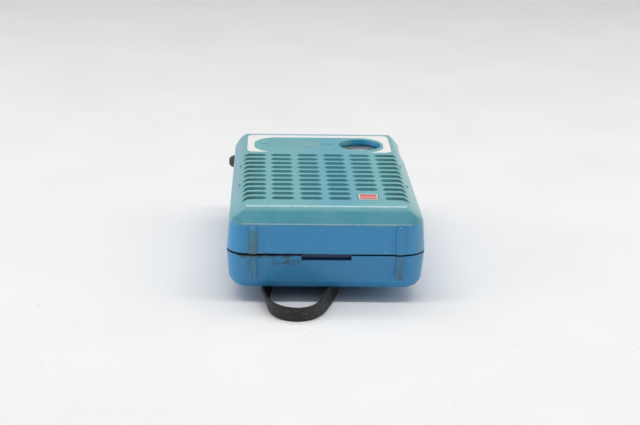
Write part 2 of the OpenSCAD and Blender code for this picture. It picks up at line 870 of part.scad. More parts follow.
module earphone_jack() {
    color(dark_plastic) at_case() difference() {
        union() {
            translate([jack_x - 4, half_l - wall - 11.5, board_top + 0.1])
                cube([8, 10, 2 * (jack_z - board_top) - 0.2]);
            translate([jack_x, half_l - wall - 1.6, jack_z]) rotate([-90, 0, 0])
                cylinder(r = jack_barrel_r - 0.05, h = wall + 1.6 + jack_out);
        }
        translate([jack_x, half_l + jack_out - jack_bore_l, jack_z]) rotate([-90, 0, 0])
            cylinder(r = jack_bore_r, h = jack_bore_l + 1);
    }
}

module jack_nut() {
    color(steel) at_case() translate([jack_x, half_l - 0.05, jack_z]) rotate([-90, 0, 0]) difference() {
        cylinder(r = 4, h = jack_out - 0.1);
        translate([0, 0, -1]) cylinder(r = jack_barrel_r - 0.05, h = 4);
    }
}

// ---- thumbwheels ----

module at_dial() {
    at_case() translate([dial_x, wheel_y, 0]) children();
}

module tuning_wheel() {
    color(dark_plastic) at_dial() difference() {
        union() {
            translate([0, 0, wheel_z]) knurled_disc(tuning_r, wheel_t, 90, 0.35);
            translate([0, 0, wheel_top - eps]) cylinder(r = dial_boss_r, h = dial_boss_t + eps);
            translate([0, 0, wheel_z - 2]) cylinder(r = 5, h = 2 + eps);
        }
        translate([0, 0, wheel_z - 3]) cylinder(r = 3, h = 4.5);
        translate([0, 0, wheel_z]) cylinder(r = 1.2, h = 8);
        translate([0, 0, wheel_top + 0.2]) cylinder(r = 3.2, h = 4);
    }
}

module dial_plate() {
    color([0.85, 0.85, 0.84]) at_dial() translate([0, 0, wheel_top + dial_boss_t])
        cylinder(r = dial_r, h = dial_t);
}

module tuning_shaft() {
    color(brass) at_dial() difference() {
        translate([0, 0, 9.5]) cylinder(r = 3, h = wheel_z + 1.5 - 9.5);
        translate([0, 0, 19]) cylinder(r = 1.1, h = 6);
    }
}

module tuning_screw() {
    color(steel) at_dial() {
        translate([0, 0, 19.5]) cylinder(r = 1.1, h = wheel_top + 0.2 - 19.5);
        translate([0, 0, wheel_top + 0.2]) cylinder(r = 2.6, h = 1.2);
    }
}

module at_volume() {
    at_case() translate([volume_x, wheel_y, 0]) children();
}

module volume_wheel() {
    color(dark_plastic) at_volume() difference() {
        union() {
            translate([0, 0, volume_z]) knurled_disc(volume_r, volume_t, 44, 0.35);
            translate([0, 0, volume_z - 2]) cylinder(r = 3.4, h = 2 + eps);
        }
        translate([0, 0, volume_z - 3]) cylinder(r = 1.9, h = 4.4);
        cylinder(r = 0.85, h = 40);
    }
}

module volume_shaft() {
    color(brass) at_volume() difference() {
        translate([0, 0, 13.5]) cylinder(r = 1.9, h = volume_z + 1.4 - 13.5);
        translate([0, 0, 19]) cylinder(r = 0.8, h = 6);
    }
}

module volume_screw() {
    color(steel) at_volume() {
        translate([0, 0, 19.5]) cylinder(r = 0.8, h = volume_z + volume_t - 19.5);
        translate([0, 0, volume_z + volume_t]) cylinder(r = 1.8, h = 0.8);
    }
}

back_case();
strap_pin();
strap_tab();
strap_crimp();
wrist_strap();
front_case();
top_panel();
name_plaque();
badge_border();
badge_plate();
dial_lens();
grille_cloth();
speaker_frame();
speaker_cone();
speaker_dust_cap();
speaker_magnet();
speaker_screws();
circuit_board();
board_screws();
ferrite_rod();
aerial_coil();
rod_holders();
tuning_capacitor();
capacitor_trimmers();
volume_control();
oscillator_coil();
oscillator_core();
if_cans();
if_core_yellow();
if_core_white();
if_core_black();
transistors();
transistor_leads();
electrolytic_capacitors();
ceramic_capacitors();
resistors();
resistor_leads();
detector_diode();
transformer_cores();
transformer_windings();
battery();
battery_terminals();
battery_snap();
battery_lead_red();
battery_lead_black();
speaker_leads();
earphone_jack();
jack_nut();
tuning_wheel();
dial_plate();
tuning_shaft();
tuning_screw();
volume_wheel();
volume_shaft();
volume_screw();
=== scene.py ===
"""Pocket transistor radio on its wrist strap: camera, strap, case, trim, wheels, works, floor and lights."""
import json
import math

import bmesh
import bpy
from mathutils import Matrix, Vector, geometry


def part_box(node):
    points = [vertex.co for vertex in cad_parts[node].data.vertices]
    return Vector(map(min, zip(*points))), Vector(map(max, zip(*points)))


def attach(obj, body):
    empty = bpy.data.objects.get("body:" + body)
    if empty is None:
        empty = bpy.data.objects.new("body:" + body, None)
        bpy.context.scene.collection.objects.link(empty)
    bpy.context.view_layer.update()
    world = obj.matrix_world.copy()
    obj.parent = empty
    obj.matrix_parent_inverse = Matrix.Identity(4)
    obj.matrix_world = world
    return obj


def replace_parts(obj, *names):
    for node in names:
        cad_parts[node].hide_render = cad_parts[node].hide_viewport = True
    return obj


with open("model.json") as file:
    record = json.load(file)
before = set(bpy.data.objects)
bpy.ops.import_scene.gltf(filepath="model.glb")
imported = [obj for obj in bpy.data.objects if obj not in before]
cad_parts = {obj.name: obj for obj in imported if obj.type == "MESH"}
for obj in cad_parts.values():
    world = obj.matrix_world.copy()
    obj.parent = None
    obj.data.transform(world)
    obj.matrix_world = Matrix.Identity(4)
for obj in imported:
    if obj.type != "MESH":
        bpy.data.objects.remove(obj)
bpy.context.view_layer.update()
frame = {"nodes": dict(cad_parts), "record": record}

MM = 0.001

# ---- sizes, in millimetres, about the middle of the case, from its back face up ----
HALF_W = 35.0
HALF_L = 52.5
CASE_H = 29.6
WALL = 1.6
CORNER_R = 8.0
DRAFT = 0.8
CORE_X = HALF_W - CORNER_R
CORE_Y = HALF_L - CORNER_R
FRONT_RIM = 13.5
BACK_RIM = 13.25
FRONT_DROP = 5.2
FRONT_RUN_SIDE = 5.75
FRONT_RUN_END = 5.0
FRONT_RUN_TOP = 3.2
BACK_DROP = 3.4
BACK_RUN_SIDE = 5.8
BACK_RUN_END = 3.1
SLOT_COLS = 6
SLOT_ROWS = 11
PITCH_X = 10.1
PITCH_Y = 5.5
SLOT_L = 8.2
SLOT_H = 3.5
OUTER_EXTRA = 0.4
ROW_NEAR = -38.0
BADGE_COL = 4
BADGE_W = 7.4
BADGE_L = 6.8
BADGE_X = (BADGE_COL - (SLOT_COLS - 1) / 2) * PITCH_X
BADGE_Y = ROW_NEAR + PITCH_Y / 2 - 0.6
BADGE_DEPTH = 1.4
WHEEL_Y = 32.4
DIAL_X = 16.3
TUNING_R = 17.2
VOLUME_R = 8.3
WINDOW_R = 7.5
PANEL_HALF = 28.5
PANEL_LOW = 21.7
PANEL_TOP = 46.7
PANEL_R = 3.0
PANEL_DEPTH = 0.6
ISLAND_R = 9.0
ISLAND_X = 16.4
ISLAND_LOW = 30.3
ISLAND_HIGH = 34.1
PLAQUE_X = -9.5
PLAQUE_W = 21.0
PLAQUE_L = 12.0
PLAQUE_Y = 33.6
PLAQUE_DEPTH = 0.5
GROOVES = ((-22.0, 3.2), (3.5, 4.0))
GROOVE_Y = 33.2
GROOVE_W = 1.2
GROOVE_R = 0.5
GROOVE_DEPTH = 0.16
TRIM_R = 0.3
RING_R = 8.95
NOTCH_HALF = 8.75
NOTCH_Z = 11.35
SCOOP_R = 71.0
SCOOP_DEEP = 1.0
SCOOP_Y = 34.7
SCOOP_Z = 19.2
RIB_X = 25.7
POCKET_Y = 42.25
POCKET_W = 7.0
POCKET_L = 11.5
TUNING_SLOT = 9.5
VOLUME_SLOT = 7.3
SPEAKER_Y = -9
SPEAKER_SCREW_R = 27
BOARD_POSTS = ((-28, 45), (-7, 46), (28.5, 7), (-29, 6), (29, -17), (-29, -17))
STRAP_W = 5.0
STRAP_T = 1.0
CASE_LIFT = 4.8

front_low, front_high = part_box("front_case")
ORIGIN = Vector((
    (front_low.x + front_high.x) / 2 / MM,
    front_high.y / MM - HALF_L,
    front_high.z / MM - CASE_H,
))


def place(point):
    """A point about the case, in millimetres, as metres in the frame."""
    return (Vector(point) + ORIGIN) * MM


def linked(name, data):
    made = bpy.data.objects.new(name, data)
    bpy.context.scene.collection.objects.link(made)
    return made


# ---- camera ----

def make_camera():
    pitch, yaw, roll = math.radians(-18.09), math.radians(2.474), math.radians(1.211)
    forward = Vector((
        math.sin(yaw) * math.cos(pitch),
        math.cos(yaw) * math.cos(pitch),
        math.sin(pitch),
    ))
    level = Vector((math.cos(yaw), -math.sin(yaw), 0))
    above = level.cross(forward)
    right = level * math.cos(roll) + above * math.sin(roll)
    up = above * math.cos(roll) - level * math.sin(roll)
    data = bpy.data.cameras.new("camera")
    data.sensor_width = 36
    data.lens = 84.86
    data.clip_end = 20
    camera = linked("camera", data)
    turn = Matrix((right, up, -forward)).transposed().to_4x4()
    camera.matrix_world = Matrix.Translation(place((-23.963, -546.412, 190.447))) @ turn
    bpy.context.scene.camera = camera


# ---- node material helpers ----

def srgb(tone):
    """Display values from 0 to 255 as linear values."""
    return tuple(c / 255 / 12.92 if c <= 10 else ((c / 255 + 0.055) / 1.055) ** 2.4 for c in tone)


class Paint:
    """A material's node tree: places about the case in millimetres, and a colour laid on in layers."""

    def __init__(self, name):
        self.material = bpy.data.materials.new(name)
        self.material.use_nodes = True
        self.tree = self.material.node_tree
        self.shader = self.tree.nodes["Principled BSDF"]
        self.color = None
        coords = self.add("ShaderNodeTexCoord")
        scaled = self.vector("MULTIPLY", coords.outputs["Object"], (1 / MM,) * 3)
        self.point = self.vector("SUBTRACT", scaled, tuple(ORIGIN))
        self.uv = coords.outputs["UV"]
        self.x, self.y, self.z = self.add("ShaderNodeSeparateXYZ", Vector=self.point).outputs

    def add(self, kind, **values):
        node = self.tree.nodes.new(kind)
        for key, value in values.items():
            self.feed(node.inputs[key], value)
        return node

    def feed(self, socket, value):
        if isinstance(value, bpy.types.NodeSocket):
            self.tree.links.new(value, socket)
        else:
            socket.default_value = value

    def operate(self, kind, operation, values):
        node = self.tree.nodes.new(kind)
        node.operation = operation
        for socket, value in zip(node.inputs, values):
            self.feed(socket, value)
        return node.outputs

    def math(self, operation, *values):
        return self.operate("ShaderNodeMath", operation, values)[0]

    def vector(self, operation, *values):
        outputs = self.operate("ShaderNodeVectorMath", operation, values)
        return outputs["Value" if operation == "LENGTH" else "Vector"]

    def fold(self, operation, values):
        result = values[0]
        for value in values[1:]:
            result = self.math(operation, result, value)
        return result

    def times(self, *values):
        return self.fold("MULTIPLY", values)

    def most(self, *values):
        return self.fold("MAXIMUM", values)

    def away(self, measure, centre=0.0):
        return self.math("ABSOLUTE", self.math("SUBTRACT", measure, centre))

    def noise(self, scale, detail, seed, stretch=(1, 1, 1)):
        shifted = self.vector("MULTIPLY_ADD", self.point, stretch, (seed, seed * 0.7, -seed))
        node = self.add("ShaderNodeTexNoise", Vector=shifted, Scale=scale, Detail=detail, Roughness=0.55)
        return node.outputs[0]

    def ramp(self, measure, low, high, to_low=0.0, to_high=1.0):
        """A smooth step between two places."""
        node = self.tree.nodes.new("ShaderNodeMapRange")
        node.interpolation_type = "SMOOTHSTEP"
        for socket, value in zip(node.inputs, (measure, low, high, to_low, to_high)):
            self.feed(socket, value)
        return node.outputs["Result"]

    def distance(self, centre, stretch):
        offset = self.vector("SUBTRACT", self.point, centre)
        return self.vector("LENGTH", self.vector("MULTIPLY", offset, stretch))

    def near(self, centre, reach, stretch):
        """1 at the centre, falling to 0 at the reach."""
        return self.ramp(self.distance(centre, stretch), 0.0, reach, 1.0, 0.0)

    def from_dial(self):
        return self.distance((DIAL_X, WHEEL_Y, 0), (1, 1, 0))

    def mix(self, factor, a, b):
        """A blend of two colours, each a socket or display values from 0 to 255."""
        node = self.tree.nodes.new("ShaderNodeMix")
        node.data_type = "RGBA"
        for index, value in ((0, factor), (6, a), (7, b)):
            if isinstance(value, tuple):
                value = (*srgb(value), 1)
            self.feed(node.inputs[index], value)
        return node.outputs[2]

    def cover(self, tone, *amounts):
        """Lays a tone over the colour so far, as strongly as the product of the amounts."""
        self.color = self.mix(self.times(*amounts), self.color, tone)

    def finish(self, roughness, bump=None, strength=0.2, distance=0.0002, **constants):
        self.feed(self.shader.inputs["Base Color"], self.color)
        self.feed(self.shader.inputs["Roughness"], roughness)
        for key, value in constants.items():
            self.shader.inputs[key.replace("_", " ")].default_value = value
        if bump is not None:
            node = self.add("ShaderNodeBump", Height=bump, Strength=strength, Distance=distance)
            self.tree.links.new(node.outputs[0], self.shader.inputs["Normal"])
        return self.material

    def satin(self, mottle, low, high, *bump, **constants):
        """Finishes the material with a roughness that follows the mottle."""
        return self.finish(self.ramp(mottle, 0.3, 0.7, low, high), *bump, **constants)


# ---- case plastics ----

def end_wall_grime(p):
    """Dirt on the bottom end: along the parting line, in smudges and in a few specks."""
    blotch = p.noise(0.35, 5.0, 3.0, (1, 1, 1.6))
    line = p.times(p.ramp(p.away(p.z, 13.1), 1.5, 0.2), p.ramp(blotch, 0.42, 0.6), p.ramp(p.x, 4.0, -12.0))
    smudge = p.times(p.near((-13.5, -52.6, 10.6), 7.5, (0.7, 1, 2.4)), p.ramp(blotch, 0.42, 0.66))
    chip = p.near((1.6, -52.6, 9.8), 0.8, (1, 1, 1.3))
    specks = p.ramp(p.noise(1.1, 4.0, 9.0), 0.69, 0.75)
    dirt = p.most(p.times(line, 0.85), p.times(smudge, 0.6), p.times(chip, 0.7), p.times(specks, 0.3))
    return p.times(dirt, p.ramp(p.y, -51.0, -52.0))


def foot_rib_wear(p):
    """Streaky browning on the foot ribs, least on the right front one."""
    streak = p.ramp(p.noise(0.8, 5.0, 5.0, (2.6, 1, 0.3)), 0.32, 0.62)
    low = p.times(p.ramp(p.z, 23.6, 21.5), p.ramp(p.z, 3.6, 4.6))
    worn = [p.times(p.ramp(p.away(p.x, side * RIB_X), 1.7, 1.3), p.ramp(p.z, 13.0, 14.0, 0.9, upper))
            for side, upper in ((-1, 1.0), (1, 0.15))]
    return p.times(p.most(*worn), streak, low, p.ramp(p.y, -51.9, -52.3))


def seam_shade(p):
    """Painted shade of the gap between the halves: a dark line along the outside of the parting line, wider
    on the left.
    """
    reach = p.ramp(p.x, -24.0, 2.0, 0.5, 0.36)
    line = p.ramp(p.away(p.z, (FRONT_RIM + BACK_RIM) / 2), reach, p.times(reach, 0.7))
    drawn_in = p.ramp(p.y, -40.0, 45.0, CORE_X, CORE_X - 1)
    past_x = p.most(p.math("SUBTRACT", p.away(p.x), drawn_in), 0.0)
    past_y = p.most(p.math("SUBTRACT", p.away(p.y), CORE_Y), 0.0)
    out = p.math("SQRT", p.math("ADD", p.times(past_x, past_x), p.times(past_y, past_y)))
    return p.times(line, p.ramp(out, 6.7, 7.1))


def fine_grain(p):
    """Height of the moulded surface, with slow waves, fine texture and hair scratches, and the scratches."""
    scratch = p.ramp(p.noise(1.3, 2.0, 7.0, (0.12, 1.6, 1.6)), 0.66, 0.72)
    height = p.math("MULTIPLY_ADD", p.noise(3.5, 3.0, 2.0), 0.18, p.times(p.noise(0.12, 2.0, 1.0), 0.9))
    return p.math("SUBTRACT", height, p.times(scratch, 0.12)), scratch


def near_right_corner(p, start):
    return p.times(p.ramp(p.x, start, 34.0), p.ramp(p.y, -40.0, -50.0))


def front_tones(p, blotch, mottle):
    """Aged teal over blue, with painted shade darkening the near bevel and a painted sheen paling the side
    bevels and the top end bevel, bluer right of the middle, olive by the near right corner.
    """
    reach = p.ramp(p.x, 18.0, 32.0, 1.4, 3.4)
    aged = p.ramp(p.math("MULTIPLY_ADD", p.math("SUBTRACT", blotch, 0.5), reach, p.z), 23.0, 24.7)
    teal = p.mix(mottle, (110, 172, 178), (130, 188, 192))
    # painted shade: the near bevel darker and bluer than the face, mottled by the blotches
    bevel = p.times(p.ramp(p.y, -47.6, -48.6), p.ramp(blotch, 0.2, 0.8, 0.95, 0.6))
    p.color = p.mix(aged, p.mix(mottle, (46, 142, 200), (64, 156, 210)), p.mix(bevel, teal, (70, 146, 168)))
    # painted sheen: the side bevels paler towards the top end, whitest on the right, and the top end bevel
    # paler
    sides = p.times(p.ramp(p.away(p.x), 29.4, 31.5), aged, p.ramp(p.y, -50.0, -30.0))
    pale = p.most(p.times(sides, p.ramp(p.x, -1.0, 1.0, 0.4, 0.5)), p.ramp(p.y, 46.6, 48.2, 0.0, 0.5))
    p.cover(p.mix(p.ramp(p.x, -1.0, 1.0), (172, 202, 228), (194, 214, 220)), pale)
    p.cover((88, 162, 196), p.ramp(p.x, -12.0, 4.0), p.ramp(p.x, 22.0, 6.0), p.ramp(p.z, 28.8, 29.4), 0.45)
    p.cover((96, 138, 116), near_right_corner(p, 27.0), p.ramp(mottle, 0.35, 0.6), 0.55)


def front_openings(p, mottle):
    """Teal in the grooves, paler teal on the slot walls as painted light that lifts the shade in them, blue
    down the cone of the dial window.
    """
    groove = p.times(p.ramp(p.away(p.y, GROOVE_Y), 0.6, 0.45), p.ramp(p.z, 29.56, 29.48))
    p.cover((66, 156, 162), groove, p.ramp(p.z, 29.1, 29.2), 0.7)
    # painted light: the slot walls are made paler to lift the shade inside the slots
    slot_painted_light = p.times(p.ramp(p.z, 29.2, 28.4), p.ramp(p.y, -44.0, -42.0), p.ramp(p.away(p.x), 30.5, 29.9))
    p.cover(p.mix(mottle, (104, 176, 184), (132, 202, 208)), slot_painted_light, p.ramp(p.z, 26.0, 27.2), 0.55)
    cone = p.mix(p.ramp(p.x, 9.0, 17.0), (44, 136, 142), (34, 136, 180))
    p.cover(cone, p.ramp(p.from_dial(), 8.4, 8.2), p.ramp(p.z, 29.65, 29.45))


def front_marks(p, mottle):
    """Brown spots on the grille, and pale lines along the creases and the wall-top edge: partly worn plastic,
    partly painted highlight.
    """
    places = ((5.8, -15.0, 1.6, 0.8), (16.4, -15.6, 1.3, 0.7), (-8.6, 0.4, 1.8, 0.5))
    spots = [p.near((x, y, 29.2), reach, (stretch, 1, 1)) for x, y, reach, stretch in places]
    p.cover((104, 72, 48), p.most(*spots), p.ramp(mottle, 0.35, 0.6), 0.8)
    # partly real rubbing, partly painted highlight along the face creases and the near wall-top edge
    edges = p.most(p.ramp(p.y, -44.5, -45.5), p.ramp(p.away(p.x), 28.2, 29.0, 0.0, 0.3))
    crease = p.times(p.ramp(p.z, 29.0, 29.3), p.ramp(p.z, 29.57, 29.45), edges)
    wall_edge = p.times(p.ramp(p.away(p.z, 24.3), 0.3, 0.1), p.ramp(p.y, -51.0, -51.4))
    wear_and_highlight = p.most(p.times(crease, 0.6), p.times(wall_edge, 0.5))
    p.cover((206, 230, 234), wear_and_highlight, p.ramp(mottle, 0.2, 0.55, 0.4, 1.0))


def front_plastic():
    """Teal where light has yellowed the face, bluer down the walls."""
    p = Paint("case_teal")
    mottle = p.noise(0.7, 4.0, 4.0)
    front_tones(p, p.noise(0.11, 4.0, 0.0), mottle)
    front_openings(p, mottle)
    front_marks(p, mottle)
    grime = end_wall_grime(p)
    p.cover((62, 74, 62), grime)
    p.cover((84, 112, 96), foot_rib_wear(p), 0.75)
    # painted shade along the outside of the parting line
    p.cover((14, 30, 44), seam_shade(p))
    hair = p.ramp(p.noise(2.6, 2.0, 6.0, (0.35, 1, 2.4)), 0.63, 0.68)
    mark = p.times(p.near((-24.0, -50.0, 27.2), 2.4, (1, 0.5, 0.5)), hair)
    height, scratch = fine_grain(p)
    p.cover((200, 222, 222), p.most(p.times(scratch, 0.12), p.times(mark, 0.45)))
    roughness = p.math("MULTIPLY_ADD", mottle, 0.14, p.math("MULTIPLY_ADD", grime, 0.3, 0.24))
    return p.finish(roughness, height, 0.2, 0.0003, IOR=1.5, Coat_Weight=0.1, Coat_Roughness=0.12)


def back_plastic():
    """Mid blue, less faded than the front, with painted shade in the coin notch and along the parting line.
    """
    p = Paint("case_blue")
    mottle = p.noise(0.55, 4.0, 14.0)
    p.color = p.mix(mottle, (44, 136, 194), (62, 152, 204))
    p.cover((92, 126, 100), near_right_corner(p, 28.0), p.ramp(mottle, 0.35, 0.6), 0.5)
    p.cover((150, 180, 200), p.ramp(p.z, 0.6, 0.0), p.ramp(p.noise(0.25, 5.0, 8.0), 0.5, 0.7), 0.25)
    grime = end_wall_grime(p)
    p.cover((54, 68, 60), grime)
    p.cover((78, 98, 84), foot_rib_wear(p), 0.8)
    # painted shade along the outside of the parting line
    p.cover((12, 26, 38), seam_shade(p))
    # painted shade: the lip seen through the coin notch painted dark blue
    notch_painted_shade = p.times(p.ramp(p.y, -50.2, -50.5), p.ramp(p.y, -52.0, -51.6), p.ramp(p.z, 11.0, 11.3))
    p.cover((18, 40, 80), p.ramp(p.away(p.x), 9.0, 8.5), notch_painted_shade, 0.85)
    height, scratch = fine_grain(p)
    p.cover((170, 200, 216), scratch, 0.12)
    roughness = p.math("MULTIPLY_ADD", mottle, 0.16, p.math("MULTIPLY_ADD", grime, 0.3, 0.28))
    return p.finish(roughness, height, 0.2, 0.0003, IOR=1.48, Coat_Weight=0.08, Coat_Roughness=0.15)


# ---- trim and strap finishes ----

def ivory_plastic():
    """Off-white, soiled round its edge and specked."""
    p = Paint("ivory_panel")
    mottle = p.noise(0.4, 5.0, 21.0)
    p.color = p.mix(mottle, (232, 232, 228), (242, 242, 242))
    p.cover((150, 146, 124), p.ramp(p.z, 29.52, 29.3), p.ramp(mottle, 0.35, 0.6), 0.6)
    p.cover((140, 120, 90), p.ramp(p.noise(1.5, 3.0, 24.0), 0.7, 0.76), 0.4)
    return p.satin(mottle, 0.3, 0.45, mottle, 0.1)


def plaque_finish():
    """The case colour, faintly browned on the ribs."""
    p = Paint("plaque_plastic")
    mottle = p.noise(1.0, 5.0, 31.0, (0.6, 1.2, 1))
    p.color = p.mix(p.ramp(mottle, 0.35, 0.65), (100, 164, 174), (124, 182, 192))
    p.cover((150, 146, 138), p.ramp(p.z, 29.3, 29.5), p.ramp(p.noise(0.45, 4.0, 33.0), 0.42, 0.6), 0.3)
    return p.satin(mottle, 0.35, 0.55, mottle, 0.2)


def badge_border_finish():
    p = Paint("badge_border")
    mottle = p.noise(1.4, 4.0, 41.0)
    p.color = p.mix(mottle, (214, 208, 188), (238, 234, 222))
    return p.satin(mottle, 0.3, 0.45, mottle, 0.12)


def badge_red_finish():
    """Pinkish red with a pale rubbed stripe across it."""
    p = Paint("badge_red")
    mottle = p.noise(1.2, 4.0, 44.0)
    p.color = p.mix(mottle, (204, 84, 94), (220, 118, 122))
    stripe = p.ramp(p.away(p.y, BADGE_Y), 0.75, 0.35)
    p.cover((244, 200, 198), stripe, p.ramp(mottle, 0.3, 0.6, 0.5, 1.0), 0.7)
    return p.satin(mottle, 0.25, 0.4, mottle, 0.1)


def strap_vinyl():
    """Charcoal vinyl pressed with a fine cross-hatch."""
    p = Paint("strap_vinyl")
    along, across, _ = p.add("ShaderNodeSeparateXYZ", Vector=p.uv).outputs
    turn = 2 * math.pi / 0.8
    lines = [p.math("SINE", p.times(p.math(way, along, across), turn)) for way in ("ADD", "SUBTRACT")]
    hatch = p.most(*lines)
    mottle = p.noise(0.5, 5.0, 51.0)
    p.color = p.mix(mottle, (24, 23, 22), (40, 38, 36))
    p.cover((60, 58, 55), p.ramp(hatch, 0.2, 1.0, 0.0, 0.5))
    p.cover((128, 124, 116), p.ramp(p.noise(0.9, 4.0, 53.0), 0.56, 0.7), 0.3)
    return p.satin(mottle, 0.42, 0.62, hatch, 0.6)


# ---- finishes of the works ----

def black_gloss_plastic(name, low, high, seed):
    """Dark moulding with a little dust."""
    p = Paint(name)
    mottle = p.noise(0.8, 5.0, seed)
    p.color = p.mix(mottle, low, high)
    p.cover((120, 116, 108), p.ramp(p.noise(0.3, 4.0, seed + 2), 0.5, 0.7), 0.25)
    return p.satin(mottle, 0.35, 0.55, mottle, 0.15)


def metal(name, low, high, rough, seed, stain=None):
    """Brushed metal in two tones, stained in patches where a stain is given."""
    p = Paint(name)
    mottle = p.noise(0.9, 5.0, seed)
    p.color = p.mix(mottle, low, high)
    if stain:
        p.cover(stain, p.ramp(p.noise(0.35, 5.0, seed + 6), 0.55, 0.7, 0.0, 0.6))
    return p.satin(mottle, *rough, p.noise(6.0, 2.0, seed + 3, (1, 0.2, 1)), 0.12, 0.0001, Metallic=1.0)


def dull(name, low, high, rough, scale, seed, strength=0.3):
    """Anything else inside: two tones, dust and a fine surface."""
    p = Paint(name)
    mottle = p.noise(scale, 5.0, seed)
    p.color = p.mix(mottle, low, high)
    p.cover((150, 145, 135), p.ramp(p.noise(0.3, 3.0, seed + 2), 0.5, 0.75), 0.2)
    return p.satin(mottle, *rough, p.noise(4.0, 3.0, seed + 1), strength)


def speaker_cloth():
    """Dusty threads along X and Y, in the case's colour, made pale as painted light against the shade behind
    the slots.
    """
    p = Paint("grille_cloth")
    threads = [p.math("SINE", p.times(measure, 2 * math.pi / 0.5)) for measure in (p.x, p.y)]
    weave = p.most(*threads)
    # painted light: the pale teal tones lift the shade the cloth lies in behind the slots
    p.color = p.mix(p.ramp(weave, -0.4, 1.0), (84, 152, 160), (122, 184, 190))
    p.cover((110, 104, 92), p.ramp(p.noise(0.25, 4.0, 64.0), 0.5, 0.7), 0.35)
    return p.finish(p.ramp(weave, -1.0, 1.0, 0.9, 0.7), weave, 0.5)


def coil_wire():
    """Close turns of fine enamelled wire along X."""
    p = Paint("enamelled_wire")
    turns = p.math("SINE", p.times(p.x, 2 * math.pi / 0.35))
    mottle = p.noise(0.6, 4.0, 78.0)
    p.color = p.mix(p.ramp(turns, -0.8, 0.6), (120, 58, 26), (196, 112, 60))
    p.cover((120, 58, 26), p.ramp(mottle, 0.5, 0.8, 0.0, 0.4))
    return p.satin(mottle, 0.3, 0.5, turns, 0.5)


def resistor_finish():
    """Brown body with colour bands."""
    p = Paint("resistor_body")
    mottle = p.noise(1.2, 4.0, 127.0)
    p.color = p.mix(mottle, (112, 82, 56), (124.3, 91.4, 62.8))
    for i, band in enumerate(((190, 30, 26), (222, 170, 30), (30, 30, 34))):
        phase = p.math("PINGPONG", p.math("ADD", p.math("ADD", p.x, p.y), i * 1.1), 2.1)
        p.cover(band, p.ramp(phase, 0.34, 0.26))
    return p.satin(mottle, 0.4, 0.6, mottle, 0.15)


def glass_lens():
    """Clear plastic with a little haze."""
    p = Paint("clear_lens")
    haze = p.noise(0.5, 4.0, 81.0)
    p.color = p.mix(haze, (246, 250, 250), (255, 255, 255))
    return p.finish(p.ramp(haze, 0.4, 0.8, 0.03, 0.12), IOR=1.45, Transmission_Weight=1.0)


def dial_finish():
    """Dial face: pale centre and a grey-brown printed ring."""
    p = Paint("dial_silver")
    radius = p.from_dial()
    mottle = p.noise(1.2, 5.0, 84.0)
    p.color = p.mix(mottle, (232, 226, 222), (246, 242, 240))
    printed = p.mix(mottle, (160, 142, 136), (190, 172, 164))
    p.cover(printed, p.ramp(radius, 3.4, 3.7), p.ramp(radius, 7.6, 7.3), 0.8)
    return p.satin(mottle, 0.3, 0.5, mottle, 0.1, 0.0001)


def board_finish():
    """Brown phenolic board with tinned tracks on its back."""
    p = Paint("board_phenolic")
    mottle = p.noise(0.4, 5.0, 87.0)
    p.color = p.mix(mottle, (128, 84, 44), (156, 106, 60))
    wander = p.noise(0.12, 2.0, 88.0, (1, 1, 0))
    bend = p.math("PINGPONG", p.math("MULTIPLY_ADD", wander, 26.0, p.times(p.y, 0.35)), 1.0)
    track = p.times(p.ramp(bend, 0.45, 0.4), p.ramp(p.z, 16.44, 16.41))
    p.cover((168, 160, 140), track)
    return p.satin(mottle, 0.4, 0.6, p.math("ADD", track, p.times(mottle, 0.3)), 0.3)


def battery_finish():
    """Steel jacket: dark body and a plain copper-coloured top band."""
    p = Paint("battery_jacket")
    mottle = p.noise(0.35, 5.0, 90.0)
    p.color = p.mix(mottle, (28, 32, 38), (44, 50, 58))
    p.cover(p.mix(mottle, (150, 92, 52), (176, 116, 72)), p.ramp(p.x, 6.0, 6.3))
    return p.satin(mottle, 0.25, 0.42, mottle, 0.12, Metallic=0.5)


def floor_finish():
    """Pale grey with sparse specks."""
    p = Paint("floor_white")
    mottle = p.noise(0.02, 3.0, 95.0)
    p.color = p.mix(mottle, (236, 236, 236), (241, 241, 241))
    p.cover((150, 150, 150), p.ramp(p.noise(0.35, 2.0, 97.0), 0.745, 0.76), 0.25)
    return p.satin(mottle, 0.5, 0.6, Specular_IOR_Level=0.3)


# Each metal's two tones, range of roughness, seed and stain
METALS = {
    "bright_steel": ((150, 150, 150), (214, 214, 212), (0.2, 0.4), 60.0),
    "strap_metal": ((150, 150, 150), (200, 200, 198), (0.3, 0.5), 62.0, (110, 96, 70)),
    "plated_steel": ((160, 156, 140), (200, 200, 198), (0.25, 0.45), 66.0, (120, 100, 66)),
    "magnet_steel": ((120, 120, 118), (160, 160, 156), (0.35, 0.55), 73.0, (96, 74, 52)),
    "brass": ((168, 130, 60), (206, 170, 92), (0.2, 0.4), 106.0),
    "can_aluminium": ((170, 172, 174), (206, 208, 208), (0.3, 0.5), 112.0),
    "transistor_metal": ((140, 142, 144), (190, 192, 192), (0.2, 0.35), 115.0),
    "lead_wire": ((168, 166, 158), (204, 202, 196), (0.25, 0.45), 118.0),
    "core_iron": ((96, 94, 92), (140, 138, 134), (0.4, 0.6), 133.0, (104, 66, 40)),
}

